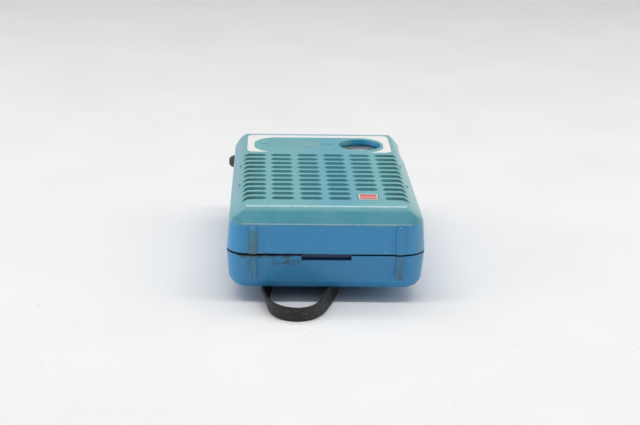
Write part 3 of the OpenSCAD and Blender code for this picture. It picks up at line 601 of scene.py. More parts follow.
# Each dull part's two tones, range of roughness, scale, seed and strength of the surface
DULL_PARTS = {
    "cone_paper": ((30, 29, 28), (50, 48, 46), (0.8, 0.95), 0.8, 70.0, 0.6),
    "ferrite": ((36, 35, 36), (58, 56, 56), (0.5, 0.7), 1.2, 76.0),
    "holder_plastic": ((190, 184, 168), (214, 208, 192), (0.4, 0.55), 0.6, 100.0),
    "capacitor_body": ((206, 202, 186), (228, 226, 214), (0.25, 0.4), 0.5, 103.0, 0.1),
    "capacitor_sleeve": ((28, 44, 92), (44, 62, 116), (0.3, 0.45), 0.8, 121.0, 0.1),
    "ceramic_disc": ((172, 112, 56), (196, 136, 76), (0.35, 0.5), 1.0, 124.0, 0.2),
    "diode_glass": ((150, 110, 60), (196, 160, 100), (0.08, 0.2), 1.2, 130.0, 0.05),
    "winding_tape": ((190, 164, 90), (216, 192, 120), (0.35, 0.5), 0.7, 136.0, 0.2),
    "wire_red": ((160, 26, 24), (190, 44, 38), (0.35, 0.5), 0.6, 139.0, 0.1),
    "wire_black": ((22, 22, 23), (42, 42, 42), (0.35, 0.5), 0.6, 142.0, 0.1),
    "wire_yellow": ((200, 168, 44), (220, 192, 80), (0.35, 0.5), 0.6, 145.0, 0.1),
    "core_red": ((170, 40, 34), (192.9, 54.5, 49.1), (0.4, 0.6), 1.0, 151.0),
    "core_yellow": ((214, 180, 40), (241.5, 203.9, 54.5), (0.4, 0.6), 1.0, 152.0),
    "core_white": ((222, 220, 210), (250.4, 248.2, 237.1), (0.4, 0.6), 1.0, 153.0),
    "core_black": ((36, 36, 38), (50.9, 50.9, 52.7), (0.4, 0.6), 1.0, 154.0),
}


def make_finishes():
    """One material for each slot of the record."""
    made = {name: metal(name, *look) for name, look in METALS.items()}
    made |= {name: dull(name, *look) for name, look in DULL_PARTS.items()}
    return made | {
        "case_teal": front_plastic(),
        "case_blue": back_plastic(),
        "ivory_panel": ivory_plastic(),
        "plaque_plastic": plaque_finish(),
        "badge_border": badge_border_finish(),
        "badge_red": badge_red_finish(),
        "strap_vinyl": strap_vinyl(),
        "clear_lens": glass_lens(),
        "grille_cloth": speaker_cloth(),
        "board_phenolic": board_finish(),
        "enamelled_wire": coil_wire(),
        "black_plastic": black_gloss_plastic("black_plastic", (24, 24, 25), (44, 43, 42), 109.0),
        "wheel_plastic": black_gloss_plastic("wheel_plastic", (46, 48, 50), (78, 80, 82), 148.0),
        "resistor_body": resistor_finish(),
        "battery_jacket": battery_finish(),
        "dial_silver": dial_finish(),
    }


# ---- mesh building ----

class Sheet:
    """Points and faces of one mesh, welded when it is made."""

    def __init__(self):
        self.points = []
        self.faces = []
        self.open_faces = {}

    def ring(self, points):
        start = len(self.points)
        self.points += [tuple(p) for p in points]
        return list(range(start, len(self.points)))

    def band(self, a, b, closed=True, keep=None):
        """Quads between two rings of the same count."""
        count = len(a)
        for i in range(count if closed else count - 1):
            j = (i + 1) % count
            if keep is None or keep(i, j):
                self.faces.append((a[i], a[j], b[j], b[i]))

    def bands(self, rings, closed=True):
        made = [self.ring(r) for r in rings]
        for a, b in zip(made, made[1:]):
            self.band(a, b, closed)
        return made

    def fan(self, ring):
        """Closes a small convex ring."""
        self.faces.append(tuple(ring))

    def capped(self, rings):
        """Bands closed at both ends."""
        made = self.bands(rings)
        self.fan(made[0])
        self.fan(made[-1])

    def looped(self, rings):
        """Bands whose last ring joins the first."""
        made = self.bands(rings)
        self.band(made[-1], made[0])

    def plan(self, loops, free, height):
        """Fills the first plan loop, less the others, through the free points, at each point's height."""
        points = []
        outlines = []
        for loop in loops:
            flat = [Vector(p[:2]) for p in loop]
            if sum(p.cross(q) for p, q in zip(flat, flat[1:] + flat[:1])) < 0:
                flat.reverse()
            outlines.append(list(range(len(points), len(points) + len(flat))))
            points += flat
        points += [Vector(p) for p in free]
        verts, _, faces, _, _, sources = geometry.delaunay_2d_cdt(points, [], outlines, 0, 1e-5)
        start = len(self.points)
        self.points += [(v.x, v.y, height(v.x, v.y)) for v in verts]
        kept = [face for face, source in zip(faces, sources) if list(source) == [0]]
        self.faces += [tuple(start + i for i in face) for face in kept]

    def piece(self, name, body, slot, smooth=38, uv=None):
        mesh = bpy.data.meshes.new(name)
        mesh.from_pydata([place(p) for p in self.points], [], self.faces)
        if uv:
            layer = mesh.uv_layers.new(name="UVMap")
            for loop in mesh.loops:
                layer.data[loop.index].uv = uv[loop.vertex_index]
        edit = bmesh.new()
        edit.from_mesh(mesh)
        bmesh.ops.remove_doubles(edit, verts=edit.verts, dist=2e-6)
        bmesh.ops.join_triangles(edit, faces=edit.faces, angle_face_threshold=0.03, angle_shape_threshold=0.7)
        bmesh.ops.dissolve_degenerate(edit, edges=edit.edges, dist=1e-7)
        loose = [v for v in edit.verts if not v.link_faces]
        bmesh.ops.delete(edit, geom=loose, context="VERTS")
        bmesh.ops.recalc_face_normals(edit, faces=edit.faces)
        edit.to_mesh(mesh)
        edit.free()
        mesh.shade_smooth()
        mesh.set_sharp_from_angle(angle=math.radians(smooth))
        made = linked(name, mesh)
        mesh.materials.append(FINISHES[slot])
        weighted = made.modifiers.new("even_shading", "WEIGHTED_NORMAL")
        weighted.keep_sharp = True
        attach(made, body)
        return made


def lifted(loop, z):
    """A plan loop at one height."""
    return [(p[0], p[1], z) for p in loop]


def rounded_gap(x, y, half_x, half_y, r):
    """Distance outside a rounded rectangle, below 0 inside."""
    dx, dy = abs(x) - half_x + r, abs(y) - half_y + r
    return math.hypot(max(dx, 0), max(dy, 0)) + min(max(dx, dy), 0) - r


def stadium_gap(x, y, length, width):
    return math.hypot(max(abs(x) - (length - width) / 2, 0), y) - width / 2


def circle_loop(x, y, r, count=48):
    step = 2 * math.pi / count
    return [(x + r * math.cos(i * step), y + r * math.sin(i * step)) for i in range(count)]


def arc(x, y, r, start, end, steps):
    turns = [math.radians(start + (end - start) * i / steps) for i in range(steps + 1)]
    return [(x + r * math.cos(t), y + r * math.sin(t)) for t in turns]


def stadium_loop(x, y, length, width, grow=0.0):
    r = width / 2 + grow
    reach = (length - width) / 2
    mids = [reach / 3, -reach / 3]
    right = arc(x + reach, y, r, -90, 90, 10)
    left = arc(x - reach, y, r, 90, 270, 10)
    return right + [(x + m, y + r) for m in mids] + left + [(x - m, y - r) for m in mids]


def box_loop(x, y, width, length, r, grow=0.0):
    a, b, r = width / 2 + grow, length / 2 + grow, r + grow
    loop = []
    for sx, sy, start in ((1, 1, 0), (-1, 1, 90), (-1, -1, 180), (1, -1, 270)):
        loop += arc(x + sx * (a - r), y + sy * (b - r), r, start, start + 90, 4)
    return loop


# ---- case outline and faces ----

def spread(low, high, step, extra=()):
    """Round places from low to high about a step apart, with the extra ones."""
    count = max(1, round((high - low) / step))
    places = {round(low + (high - low) * i / count, 4) for i in range(count + 1)}
    places = {p for p in places if all(abs(p - e) > 0.4 for e in extra) or p in (low, high)}
    return sorted(places | set(extra))


SLOT_ENDS = [WHEEL_Y + reach for reach in (-TUNING_SLOT, -VOLUME_SLOT, VOLUME_SLOT, TUNING_SLOT)]
SIDE_Y = spread(-CORE_Y, CORE_Y, 2.0, SLOT_ENDS)
END_X = spread(-CORE_X, CORE_X, 3.0, (-NOTCH_HALF, NOTCH_HALF))


def rim(r):
    """The case's plan outline, r out from the middle rectangle, anticlockwise from the right side."""
    loop = [(CORE_X + r, y) for y in SIDE_Y] + arc(CORE_X, CORE_Y, r, 0, 90, 14)[1:-1]
    loop += [(x, CORE_Y + r) for x in reversed(END_X)] + arc(-CORE_X, CORE_Y, r, 90, 180, 14)[1:-1]
    loop += [(-CORE_X - r, y) for y in reversed(SIDE_Y)] + arc(-CORE_X, -CORE_Y, r, 180, 270, 14)[1:-1]
    loop += [(x, -CORE_Y - r) for x in END_X] + arc(CORE_X, -CORE_Y, r, 270, 360, 14)[1:-1]
    return [(x - math.copysign(side_taper(x, y), x), y) for x, y in loop]


def side_taper(x, y):
    """How far the sides draw in, more towards the top end."""
    share = min(max((abs(x) - 20) / 14, 0), 1)
    return share * (y + HALF_L) / (2 * HALF_L)


def scoop_x(y):
    """Where the finger scoop reaches in from the right side."""
    away = y - SCOOP_Y
    if abs(away) > 14:
        return 2 * HALF_W
    wall = HALF_W - DRAFT - side_taper(HALF_W, y)
    return wall + SCOOP_R - SCOOP_DEEP - math.sqrt(SCOOP_R ** 2 - away ** 2)


def scooped(loop, inset=0.0):
    return [(min(x, scoop_x(y) - inset), y) if x > 0 else (x, y) for x, y in loop]


def soft_max(a, b, blend):
    over = max(blend - abs(a - b), 0) / blend
    return max(a, b) + over * over * blend / 4


class Half:
    """The shape of one case half: its face, bevels and rim."""

    def __init__(self, face_z, up, drop, run_side, run_end, run_top, skew, rim_z):
        self.face_z, self.up, self.drop, self.rim_z = face_z, up, drop, rim_z
        self.run_side, self.run_end, self.run_top, self.skew = run_side, run_end, run_top, skew

    def flat_x(self, y):
        return HALF_W - DRAFT - self.run_side + self.skew * y / HALF_L

    def flat_y(self, y):
        return HALF_L - DRAFT - (self.run_top if y > 0 else self.run_end)

    def height(self, x, y):
        flat_x, flat_y = self.flat_x(y), self.flat_y(y)
        side = (abs(x) - flat_x) / (HALF_W - DRAFT - flat_x)
        end = (abs(y) - flat_y) / (HALF_L - DRAFT - flat_y)
        return self.face_z - self.up * soft_max(soft_max(side, end, 0.12) * self.drop, 0, 0.75)

    def inner(self, x, y):
        return self.height(x, y) - self.up * WALL

    def wall_r(self, z):
        top = self.face_z - self.up * self.drop
        return CORNER_R - DRAFT * (z - self.rim_z) / (top - self.rim_z)


FRONT = Half(CASE_H, 1, FRONT_DROP, FRONT_RUN_SIDE, FRONT_RUN_END, FRONT_RUN_TOP, 0.75, FRONT_RIM)
BACK = Half(0.0, -1, BACK_DROP, BACK_RUN_SIDE, BACK_RUN_END, BACK_RUN_END, 0.0, BACK_RIM)
EDGE_INSET = 0.35
EDGE_DROP = 0.3


def crease_places(flat, limit, step):
    """Grid places from 0 to the limit, close together over the rounded edge between face and bevel."""
    near_edge = [flat + d for d in (-0.65, -0.4, -0.2, 0.0, 0.2, 0.4, 0.65)]
    plain = [i * step for i in range(int(limit / step) + 1)]
    return [p for p in plain if all(abs(p - n) > step / 3 for n in near_edge)] + near_edge


def grid_points(half, edge_r, clear_of):
    """Free points over a face, clear of its edge and features, with more along the corner creases."""
    points = []
    for sy in (-1, 1):
        flat_y = half.flat_y(sy)
        for y in crease_places(flat_y, HALF_L, 2.6):
            across = crease_places(half.flat_x(sy * y), HALF_W, 2.6)
            points += [(sx * x, sy * y) for x in across for sx in (-1, 1)]
        corner_x = half.flat_x(sy * flat_y)
        for i in range(1, 13):
            x = corner_x + (HALF_W - DRAFT - corner_x) * i / 12
            y = flat_y + (HALF_L - DRAFT - flat_y) * i / 12
            offsets = (-0.4, -0.14, 0.14, 0.4)
            points += [(sx * (x + off), sy * (y - off)) for off in offsets for sx in (-1, 1)]
    limit_x, limit_y = CORE_X + edge_r, CORE_Y + edge_r
    return [p for p in points
            if rounded_gap(*p, limit_x - side_taper(*p), limit_y, edge_r) < -0.35
            and (p[0] < 0 or p[0] < scoop_x(p[1]) - EDGE_INSET - 0.35)
            and all(gap(*p) > room for gap, room in clear_of)]


def face_rings(half, scoop=False):
    """The rounded edge between bevel and wall, from the face side to the wall side."""
    rings = []
    top_r = CORNER_R - DRAFT
    for s in (0.0, 0.2, 0.4, 0.6, 0.8, 1.0):
        inset = (1 - s) ** 2 * EDGE_INSET
        loop = rim(top_r - inset)
        start = rim(top_r - EDGE_INSET)
        edge = rim(top_r)
        if scoop:
            loop, start, edge = scooped(loop, inset), scooped(start, EDGE_INSET), scooped(edge)
        ring = []
        for p, a, k in zip(loop, start, edge):
            z_a, z_k = half.height(*a), half.height(*k)
            z = (1 - s) ** 2 * z_a + 2 * s * (1 - s) * z_k + s * s * (z_k - half.up * EDGE_DROP)
            ring.append((*p, z))
        rings.append(ring)
    return rings


def slot_list():
    found = []
    for c in range(SLOT_COLS):
        length = SLOT_L + (OUTER_EXTRA if c in (0, SLOT_COLS - 1) else 0)
        for r in range(SLOT_ROWS):
            if c != BADGE_COL or r >= 2:
                found.append(((c - (SLOT_COLS - 1) / 2) * PITCH_X, ROW_NEAR + r * PITCH_Y, length))
    return found


SLOTS = slot_list()


def slot_gap(x, y):
    """Distance to the nearest grille slot, below 0 inside it."""
    row = min(max(round((y - ROW_NEAR) / PITCH_Y), 0), SLOT_ROWS - 1)
    in_row = [slot for slot in SLOTS if abs(slot[1] - ROW_NEAR - row * PITCH_Y) < 0.1]
    return min(stadium_gap(x - sx, y - sy, length, SLOT_H) for sx, sy, length in in_row)


def badge_gap(x, y):
    return rounded_gap(x - BADGE_X, y - BADGE_Y, BADGE_W / 2, BADGE_L / 2, TRIM_R)


def plaque_gap(x, y):
    return rounded_gap(x - PLAQUE_X, y - PLAQUE_Y, PLAQUE_W / 2, PLAQUE_L / 2, TRIM_R)


def window_gap(x, y):
    return math.hypot(x - DIAL_X, y - WHEEL_Y) - RING_R


def panel_gap(x, y):
    outer = rounded_gap(x, y - (PANEL_TOP + PANEL_LOW) / 2, PANEL_HALF, (PANEL_TOP - PANEL_LOW) / 2, PANEL_R)
    half_l = (ISLAND_HIGH - ISLAND_LOW) / 2 + ISLAND_R
    island_y = (ISLAND_HIGH + ISLAND_LOW) / 2
    return max(outer, -rounded_gap(x, y - island_y, ISLAND_X + ISLAND_R, half_l, ISLAND_R))


def groove_gap(x, y):
    return min(rounded_gap(x - gx, y - GROOVE_Y, w / 2, GROOVE_W / 2, GROOVE_R) for gx, w in GROOVES)


def panel_loop(shrink=0.0):
    """Outline of the ivory panel: round corners outside, the island's round ends inside."""
    right, top, low = PANEL_HALF - shrink, PANEL_TOP - shrink, PANEL_LOW + shrink
    r, island = PANEL_R - shrink, ISLAND_R + shrink
    tip = math.degrees(math.asin((low - ISLAND_LOW) / island))
    loop = arc(-right + r, low + r, r, 270, 180, 6)
    loop += arc(-right + r, top - r, r, 180, 90, 6)
    loop += arc(right - r, top - r, r, 90, 0, 6)
    loop += arc(right - r, low + r, r, 0, -90, 6)
    loop += arc(ISLAND_X, ISLAND_LOW, island, tip, 0, 12)
    loop += arc(ISLAND_X, ISLAND_HIGH, island, 0, 90, 16)
    loop += arc(-ISLAND_X, ISLAND_HIGH, island, 90, 180, 16)
    loop += arc(-ISLAND_X, ISLAND_LOW, island, 180, 180 - tip, 12)
    return loop


def badge_loop(grow):
    return box_loop(BADGE_X, BADGE_Y, BADGE_W, BADGE_L, TRIM_R, grow)


def plaque_loop(shrink):
    return box_loop(PLAQUE_X, PLAQUE_Y, PLAQUE_W, PLAQUE_L, TRIM_R, -shrink)


def recess(sheet, loop_at, depth):
    """A shallow pocket in the front with a softened lip: gives the loop that bounds it in the face."""
    face = FRONT.height
    lip = [(-0.14, 0.0), (-0.06, 0.025), (0.0, 0.12), (0.0, depth)]
    sheet.bands([[(x, y, face(x, y) - z) for x, y in loop_at(shrink)] for shrink, z in lip])
    sheet.plan([loop_at(0.0)], [], lambda x, y: face(x, y) - depth)
    return loop_at(lip[0][0])


def through_hole(sheet, loop_at, rim_r=0.14):
    """A hole through the front with a rounded rim: gives its loops in the outer and inner faces."""
    rings = []
    for share in (1.0, 0.6, 0.27, 0.08, 0.0):
        grow = share * rim_r
        sink = rim_r - math.sqrt(max(rim_r ** 2 - (rim_r - grow) ** 2, 0))
        rings.append([(x, y, FRONT.height(x, y) - sink) for x, y in loop_at(grow)])
    sheet.bands(rings + [[(x, y, FRONT.inner(x, y)) for x, y in loop_at(0.0)]])
    return loop_at(rim_r), loop_at(0.0)


def window_opening(sheet):
    """Raised ring, round lip, blue cone and the seat of the lens behind the face."""
    face = CASE_H
    profile = [
        (RING_R, face), (8.88, face + 0.08), (8.76, face + 0.12), (8.45, face + 0.12), (8.3, face + 0.05),
        (8.2, face - 0.15), (WINDOW_R, face - 1.2), (WINDOW_R, 27.6), (8.25, 27.6), (8.25, 26.6),
        (8.95, 26.6), (9.1, 26.75), (9.1, face - WALL)]
    sheet.bands([lifted(circle_loop(DIAL_X, WHEEL_Y, r, 64), z) for r, z in profile])
    return tuple(circle_loop(DIAL_X, WHEEL_Y, profile[end][0], 64) for end in (0, -1))


def post(sheet, x, y, low, high, r):
    """A moulded screw post with a bore and a rounded end, fused to the inside of the face."""
    bore = 0.9
    profile = [(bore, high), (bore, low + 0.15), (bore + 0.15, low), (r - 0.3, low), (r, low + 0.3),
               (r + 0.2, high)]
    sheet.bands([lifted(circle_loop(x, y, radius, 20), z) for radius, z in profile])


def screw_posts(sheet):
    for x, y in BOARD_POSTS:
        post(sheet, x, y, 18.0, FRONT.inner(x, y) + 0.4, 2.1)
    for degrees in (35, 215):
        for x, y in arc(0, SPEAKER_Y, SPEAKER_SCREW_R, degrees, degrees + 110, 1):
            post(sheet, x, y, 26.7, CASE_H - WALL + 0.4, 1.8)


def wall_grid(sheet, half, levels, holes):
    """Outer and inner walls at each level, scooped or not, with the holes through them."""
    outer, inner = [], []
    for z, is_scooped in levels:
        loop = rim(half.wall_r(z))
        outer.append(sheet.ring(lifted(scooped(loop) if is_scooped else loop, z)))
        inner.append(sheet.ring(lifted(rim(half.wall_r(z) - WALL), z)))
    for i in range(len(levels) - 1):
        middle = (levels[i][0] + levels[i + 1][0]) / 2

        def keep(j, k, middle=middle, ring=outer[i]):
            (x, y, _), (x2, y2, _) = sheet.points[ring[j]], sheet.points[ring[k]]
            return not any(hole((x + x2) / 2, (y + y2) / 2, middle) for hole in holes)

        sheet.band(outer[i], outer[i + 1], True, keep)
        sheet.band(inner[i], inner[i + 1], True, keep)
        close_hole_edges(sheet, outer, inner, i, keep)
    return outer, inner


def close_hole_edges(sheet, outer, inner, i, keep):
    """The thickness of the wall beside each missing face."""
    count = len(outer[i])
    for j in range(count):
        k, before = (j + 1) % count, (j - 1) % count
        if keep(j, k):
            continue
        if keep(before, j):
            sheet.faces.append((outer[i][j], outer[i + 1][j], inner[i + 1][j], inner[i][j]))
        if keep(k, (k + 1) % count):
            sheet.faces.append((outer[i][k], outer[i + 1][k], inner[i + 1][k], inner[i][k]))
        sheet.open_faces.setdefault(j, []).append(i)


def cap_hole_levels(sheet, outer, inner, to_rim=False):
    """Closes each hole's lower level, and its upper one unless it runs out to the rim."""
    for j, rows in sheet.open_faces.items():
        k = (j + 1) % len(outer[0])
        for level in (min(rows),) if to_rim else (min(rows), max(rows) + 1):
            sheet.faces.append((outer[level][j], outer[level][k], inner[level][k], inner[level][j]))


def side_hole(side, reach, low, high):
    def inside(x, y, z):
        return x * side > CORE_X and abs(y - WHEEL_Y) < reach and low < z < high
    return inside


def notch_hole(x, y, z):
    return y < -CORE_Y and abs(x) < NOTCH_HALF and z > NOTCH_Z


def groove_recess(sheet, x, width):
    def loop_at(shrink):
        return box_loop(x, GROOVE_Y, width, GROOVE_W, GROOVE_R, -shrink)
    return recess(sheet, loop_at, GROOVE_DEPTH)


def front_case():
    """Front shell: grille, window, pockets for the trim, bevels, walls with both wheels' slots, and posts."""
    sheet = Sheet()
    holes = [through_hole(sheet, lambda grow, slot=slot: stadium_loop(*slot, SLOT_H, grow)) for slot in SLOTS]
    holes.append(through_hole(sheet, badge_loop, 0.15))
    holes.append(window_opening(sheet))
    loops = [outer_loop for outer_loop, _ in holes]
    loops.append(recess(sheet, panel_loop, PANEL_DEPTH))
    loops.append(recess(sheet, plaque_loop, PLAQUE_DEPTH))
    loops += [groove_recess(sheet, x, width) for x, width in GROOVES]
    edges = face_rings(FRONT, True)
    made = sheet.bands(edges)
    clear = [(slot_gap, 0.5), (badge_gap, 0.5), (window_gap, 0.6), (panel_gap, 0.5), (plaque_gap, 0.5),
             (groove_gap, 0.5)]
    free = grid_points(FRONT, CORNER_R - DRAFT - EDGE_INSET, clear)
    sheet.plan([edges[0]] + loops, free, FRONT.height)
    levels = [(24.05, True), (22.6, True), (21.05, True), (20.85, True), (SCOOP_Z + 0.04, True),
              (SCOOP_Z - 0.04, False), (16.5, False), (13.75, False)]
    slots = [side_hole(-1, VOLUME_SLOT, 20.85, 24.05), side_hole(1, TUNING_SLOT, 21.05, 24.05)]
    outer, inner = wall_grid(sheet, FRONT, levels, slots)
    cap_hole_levels(sheet, outer, inner)
    sheet.band(made[-1], outer[0])
    close_rim(sheet, outer[-1], inner[-1], FRONT)
    inner_face(sheet, FRONT, inner[0], [inner_loop for _, inner_loop in holes],
               [(slot_gap, 0.4), (badge_gap, 0.4), (window_gap, 1.0)])
    screw_posts(sheet)
    return sheet.piece("front_case_shell", "front_half", "case_teal")


def inner_face(sheet, half, wall, loops, clear):
    """The inside of the face, joined to the top of the inner wall."""
    inner_r = CORNER_R - DRAFT - WALL
    sheet.band(sheet.ring([(x, y, half.inner(x, y)) for x, y in rim(inner_r)]), wall)
    sheet.plan([rim(inner_r)] + loops, grid_points(half, inner_r, clear), half.inner)


def close_rim(sheet, outer, inner, half, keep=None):
    """The rounded outer edge and the flat of the rim at the parting line."""
    steps = ((0.0, 0.34), (0.03, 0.18), (0.12, 0.06), (0.3, 0.0))
    rings = [sheet.ring(lifted(rim(CORNER_R - inset), half.rim_z + half.up * up)) for inset, up in steps]
    inside = sheet.ring(lifted(rim(CORNER_R - WALL), half.rim_z))
    for a, b in zip([outer] + rings, rings + [inside]):
        sheet.band(a, b, True, keep)
    sheet.band(inside, inner, True, keep)
    return rings, inside


def pocket_loop(grow, wall=0.0, r=0.4):
    return box_loop(0, POCKET_Y, POCKET_W + wall, POCKET_L + wall, r, grow)


def pocket_gap(x, y):
    return rounded_gap(x, y - POCKET_Y, POCKET_W / 2 + 0.2, POCKET_L / 2 + 0.2, 0.6)


def back_case():
    """Back shell: strap pocket and the box round it, bevels, and walls with the coin notch."""
    sheet = Sheet()
    steps = ((0.2, 0.0), (0.06, 0.05), (0.0, 0.2), (0.0, 4.5))
    sheet.fan(sheet.bands([lifted(pocket_loop(grow), z) for grow, z in steps])[-1])
    edges = face_rings(BACK)
    made = sheet.bands(edges)
    free = grid_points(BACK, CORNER_R - DRAFT - EDGE_INSET, [(pocket_gap, 0.5)])
    sheet.plan([edges[0], pocket_loop(0.2)], free, BACK.height)
    levels = [(z, False) for z in (4.0, 5.5, 8.0, NOTCH_Z, 13.0)]
    outer, inner = wall_grid(sheet, BACK, levels, [notch_hole])
    cap_hole_levels(sheet, outer, inner, True)
    sheet.band(made[-1], outer[0])

    def keep(j, k):
        (x, y, _), (x2, _, _) = sheet.points[outer[0][j]], sheet.points[outer[0][k]]
        return not notch_hole((x + x2) / 2, y, BACK_RIM)

    rings, inside = close_rim(sheet, outer[-1], inner[-1], BACK, keep)
    notch_ends(sheet, outer[-1], inner[-1], rings, inside)
    inner_face(sheet, BACK, inner[0], [], [])
    steps = ((0.2, 1.5), (0.0, 1.9), (0.0, 5.2), (-0.3, 5.5))
    sheet.fan(sheet.bands([lifted(pocket_loop(grow, 2, 0.8), z) for grow, z in steps])[-1])
    return sheet.piece("back_case_shell", "back_half", "case_blue")


def notch_ends(sheet, outer, inner, rings, inside):
    """The wall's thickness at both ends of the coin notch, up to the rim."""
    for j, index in enumerate(outer):
        x, y, _ = sheet.points[index]
        if y < -CORE_Y and abs(abs(x) - NOTCH_HALF) < 0.01:
            sheet.faces.append((index, *[r[j] for r in rings], inside[j], inner[j]))


def joint_lip():
    """Lip inside the back rim that lines the halves up, open towards the top end."""
    sheet = Sheet()
    outline = rim(1.0)
    count = len(outline)
    reach = [i for i in range(count) if outline[i][1] < 36.5]
    start = next(i for i in reach if (i - 1) % count not in reach)
    order = [(start + i) % count for i in range(len(reach))]
    profile = [(1.85, 10.9), (1.85, 14.6), (1.95, 14.82), (2.15, 14.9), (2.4, 14.9), (2.58, 14.82),
               (2.65, 14.6), (2.65, 10.9)]
    made = sheet.bands([[(*rim(CORNER_R - inset)[i], z) for i in order] for inset, z in profile], False)
    sheet.band(made[-1], made[0], False)
    for end in (0, -1):
        sheet.fan([ring[end] for ring in made])
    return sheet.piece("joint_lip", "back_half", "case_blue")


def foot_rib(name, x, low, high, round_top, body, slot):
    """A raised strip with a round free end and softened edges on the bottom end."""
    sheet = Sheet()
    r = 1.4
    face = -HALF_L + 0.12

    def outline(shrink):
        w = r - shrink
        cap = arc(x, high - r, w, 0, 180, 12) if round_top else arc(x, low + r, w, 180, 360, 12)
        base = low if round_top else high
        steps = [base + (cap[-1][1] - base) * t for t in (0.75, 0.5, 0.25, 0.0)]
        up = [(cap[-1][0], z) for z in steps]
        down = [(cap[0][0], base + (cap[0][1] - base) * t) for t in (0.0, 0.25, 0.5, 0.75)]
        return cap + up + down

    profile = [(0.0, 0.9), (0.0, -0.3), (0.05, -0.42), (0.18, -0.5), (0.36, -0.52)]
    sheet.capped([[(px, face + y, pz) for px, pz in outline(shrink)] for shrink, y in profile])
    return sheet.piece(name, body, slot)


def hooks():
    """Hooks of the front half that turn in the back half's top edge."""
    sheet = Sheet()

    def turn(r, degrees):
        return [(HALF_L - r * math.cos(math.radians(a)), FRONT_RIM - r * math.sin(math.radians(a)))
                for a in degrees]

    outline = [(HALF_L - 3.2, 18.5)] + turn(3.2, (0, 8, 16, 24, 32, 38)) + turn(2.0, (32, 24, 16, 8, 0))
    outline += [(HALF_L - 2.0, 15.0), (HALF_L - 0.9, 15.0), (HALF_L - 0.9, 18.5)]
    outline = [Vector(p) for p in outline]
    middle = sum(outline, Vector((0, 0))) / len(outline)
    for mid in (-24, 24):
        steps = ((-3, 0.12), (-2.9, 0.03), (-2.7, 0.0), (2.7, 0.0), (2.9, 0.03), (3, 0.12))
        sheet.capped([[(mid + x, *(p + (middle - p).normalized() * inset)) for p in outline]
                      for x, inset in steps])
    return sheet.piece("case_hooks", "front_half", "case_teal")


# ---- trim ----

def slab(node, name, loop_at, low, high, slot, edge):
    """A flat piece of trim with rounded upper edges over a plan loop that shrinks by its argument."""
    sheet = Sheet()
    steps = [(0.0, low), (0.0, high - edge), (edge * 0.12, high - edge * 0.5),
             (edge * 0.45, high - edge * 0.13), (edge, high)]
    sheet.bands([lifted(loop_at(shrink), z) for shrink, z in steps])
    sheet.plan([loop_at(edge)], [], lambda x, y: high)
    sheet.plan([loop_at(0.0)], [], lambda x, y: low)
    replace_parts(sheet.piece(name, "front_half", slot), node)


def make_panel():
    slab("top_panel", "ivory_panel", lambda shrink: panel_loop(0.1 + shrink), CASE_H - PANEL_DEPTH,
         CASE_H - 0.02, "ivory_panel", 0.16)


def make_plaque():
    """Plain ribbed plate in place of lettering."""
    sheet = Sheet()
    low = CASE_H - PLAQUE_DEPTH
    base = ((0.04, 0.0), (0.04, 0.4), (0.1, 0.44))
    sheet.capped([lifted(plaque_loop(shrink), low + z) for shrink, z in base])
    ribs = 7
    pitch = PLAQUE_L / ribs
    for i in range(ribs):
        y = PLAQUE_Y - PLAQUE_L / 2 + (i + 0.5) * pitch
        steps = ((0.0, 0.4), (0.02, 0.46), (0.06, 0.49), (0.13, 0.5))
        sheet.capped([lifted(stadium_loop(PLAQUE_X, y, PLAQUE_W - 0.9, pitch * 0.55, -shrink), low + z)
                      for shrink, z in steps])
    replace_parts(sheet.piece("name_plaque", "front_half", "plaque_plastic"), "name_plaque")


def make_badge():
    """Ivory frame let into the grille with a red plate in it."""
    sheet = Sheet()
    low, high = CASE_H - BADGE_DEPTH, CASE_H + 0.02

    def inner_loop(shrink, r=0.1):
        return box_loop(BADGE_X, BADGE_Y, BADGE_W - 2 * shrink, BADGE_L - 2 * shrink, r)

    outer = ((0.24, low), (0.24, high - 0.14), (0.28, high - 0.04), (0.36, high))
    inner = ((0.62, high), (0.7, high - 0.03), (0.74, high - 0.12), (0.74, low))
    sheet.looped([lifted(badge_loop(-shrink), z) for shrink, z in outer]
                 + [lifted(inner_loop(shrink, 0.12), z) for shrink, z in inner])
    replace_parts(sheet.piece("badge_frame", "front_half", "badge_border"), "badge_border")
    slab("badge_plate", "badge_plate_red", lambda shrink: inner_loop(0.78 + shrink), low, CASE_H - 0.14,
         "badge_red", 0.1)


# ---- strap ----

STRAP_ROUTE = [
    (0, 32.5, 1.2, 0), (-1, 26, 0.5, 5), (-4, 18, 0.3, 30), (-8, 8, 0.1, 50),
    (-12.3, -4, 0, 57), (-16.1, -17, 0, 57), (-18.9, -30, 0, 57), (-20.6, -42, 0, 58),
    (-21.1, -50, 0, 63), (-20.6, -57, 0, 73), (-18.9, -63, 0, 83), (-15.9, -67, 0, 90),
    (-12.2, -68.8, 0, 90), (-8.6, -68.8, 0, 90), (-4.9, -66.8, 0, 87), (-2, -62.4, 0, 79),
    (0, -56, 0, 70), (1.8, -49, 0, 63), (3.7, -40, 0, 58), (5.2, -30, 0, 57),
    (6.2, -19, 0, 57), (6.4, -8, 0, 57), (5.6, 4, 0, 54), (3.9, 14, 0.3, 42),
    (1.9, 22, 1.2, 22), (0.6, 27, 2.1, 6), (0, 32.5, 2.3, 0)]


def spline(points, steps):
    """Points of a smooth curve through the given ones."""
    made = []
    last = len(points) - 1
    for i in range(last):
        a, b, c, d = points[max(i - 1, 0)], points[i], points[i + 1], points[min(i + 2, last)]
        for k in range(steps):
            t = k / steps
            made.append(0.5 * (2 * b + (c - a) * t + (2 * a - 5 * b + 4 * c - d) * t * t
                               + (3 * b - a - 3 * c + d) * t ** 3))
    return made + [points[last]]


def strap_profile():
    """Section of the strap, flat with rounded edges."""
    return box_loop(0, 0, STRAP_W, STRAP_T, 0.32)


